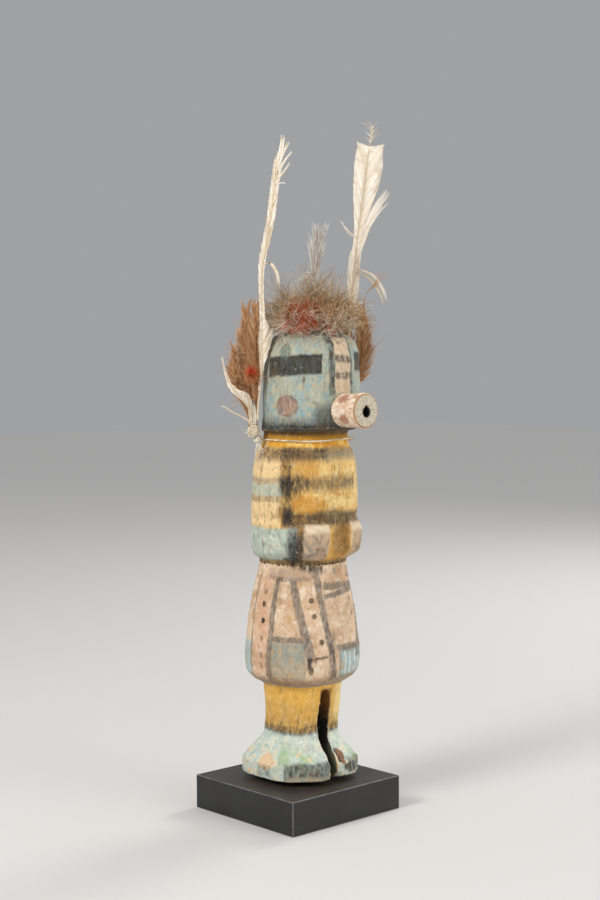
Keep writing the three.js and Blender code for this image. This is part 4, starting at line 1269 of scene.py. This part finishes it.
red_patch = crown + camera_back * 16 * mm - camera_right * 3 * mm + Vector((0, 0, 3 * mm))
crest = Down(41)
chance = crest.chance
pad = bmesh.ops.create_icosphere(crest.bm, subdivisions=4, radius=1)["verts"]
for vert in pad:
    bump = 1 + 0.12 * noise.noise(vert.co * 3)
    vert.co = crown + Vector((vert.co.x * 16, vert.co.y * 16, max(vert.co.z, 0) * 12)) * bump * mm
for vert in pad:
    for loop in vert.link_loops:
        loop[crest.strand].uv = ((chance.randrange(0, 22) + 0.5) / crest.tints, 0.1)
hair_count = 3500
for k in range(hair_count):
    share = math.sqrt((k + 0.5) / hair_count)
    out = outward_at(k * math.pi * (3 - math.sqrt(5)))
    lift = 11 * math.sqrt(1 - share ** 2) * chance.random() - 1.2 * share ** 3
    root = crown + out * share * 19.5 * mm + Vector((0, 0, lift)) * mm
    lean_out = 1.15 * share ** 1.6 + chance.gauss(0, 0.28)
    heading = (out * lean_out + Vector((0, 0, 1))).normalized()
    thick_here = 1 + 0.25 * noise.noise(out * 2.1 + Vector((0, 0, share * 3)))
    long = chance.uniform(0.55, 1.1) * (32 - 14 * share) * thick_here
    if (root - red_patch).length < 11.5 * mm and chance.random() < 0.9:
        hair(crest, root, heading, long * 0.6, 0.9, chance.randrange(23, 28), droop=0.15)
    else:
        hair(crest, root, heading, long, 0.8, chance.randrange(0, 23), droop=0.12 * share)
crest.made("crest_tuft_down", crest_colours, "crest_tuft", thickness=0.08)

# pale strands lie low along the brow, and long wild hairs stand out all over
fringe = Down(42)
chance = fringe.chance
for k in range(800):
    out = outward_at(math.radians(-42.6 + chance.uniform(-110, 110)))
    tangent = Vector((-out.y, out.x, 0)) * chance.choice((-1, 1))
    root = crown + out * chance.uniform(15, 20) * mm + Vector((0, 0, chance.uniform(-1.0, 3.5))) * mm
    heading = tangent * chance.uniform(0.4, 1.2) + out * 0.3 + Vector((0, 0, chance.uniform(0.05, 0.7)))
    hair(fringe, root, heading.normalized(), chance.uniform(7, 17), 0.9, chance.randrange(28, 32), width=0.19)
for k in range(620):
    out = outward_at(chance.uniform(0, 2 * math.pi))
    heading = (out * chance.uniform(0.1, 0.9) + Vector((0, 0, 1))).normalized()
    root = crown + out * chance.uniform(4, 15) * mm + Vector((0, 0, 6 * mm))
    hair(fringe, root, heading, chance.uniform(16, 33), 1.7,
         chance.choice((chance.randrange(0, 23), chance.randrange(28, 32))), width=0.12, steps=9)
for k in range(260):
    root = red_patch + fringe.any_way() * 4 * mm
    root.z = max(root.z, crown.z + 0.5 * mm)
    heading = camera_back * 0.5 + Vector((chance.gauss(0, 0.6), chance.gauss(0, 0.6), 1))
    hair(fringe, root, heading.normalized(), chance.uniform(4, 9), 1.3, chance.randrange(23, 28), width=0.2)
fringe_piece = fringe.made("crest_fringe_down", crest_colours, thickness=0.08)

grey_plume = down_finish("grey crest feather", [
    (0, "#c3bbb0"), (0.3, "#d9d2c8"), (0.6, "#ece7de"), (0.85, "#a79d92")], root="#9b9186", soiling=0.3)
grey_line = [at(crown_x + 1.8, crown_y + 1, 247.4), at(crown_x + 2.1, crown_y + 0.4, 264),
             at(crown_x + 2.8, crown_y - 1, 285), at(crown_x + 4.6, crown_y - 2.9, 303)]
tall_wisp = Down(51)
chance = tall_wisp.chance
tall_wisp.shaft(grey_line, 0.35 * mm, 0.1 * mm, rows=20)
tall_wisp.vane(grey_line, broadside,
               lambda share, side: 4.6 * smooth(share, 0.36, 0.6) * (1 - 0.45 * smooth(share, 0.8, 1)),
               start=0.36, end=0.86, per_mm=5.5, rake=13, messy=0.12, fine=0.2, hook=0.1, wild=0.05, top=1.0)
tall_wisp.vane(grey_line, camera_back,
               lambda share, side: 3.0 * smooth(share, 0.45, 0.62) * (1 - 0.75 * smooth(share, 0.8, 1)),
               start=0.4, end=0.95, per_mm=1.6, rake=18, messy=0.25, fine=0.24, wild=0.08)
wisp_root = at(crown_x + 2.4, crown_y - 0.6, 277)
for k in range(26):
    tip = wisp_root + broadside * -chance.uniform(5, 12) * mm + Vector((0, 0, chance.uniform(-12, -2))) * mm
    bend = (wisp_root + tip) / 2 + Vector((0, 0, chance.uniform(1, 4))) * mm
    tall_wisp.ribbon([spline([wisp_root, bend, tip], j / 6)[0] for j in range(7)],
                     [0.22 * mm * (1 - 0.1 * j) for j in range(7)], Vector((0, 0, 1)))
tall_wisp.made("crest_feather_barbs", grey_plume, "crest_feather")
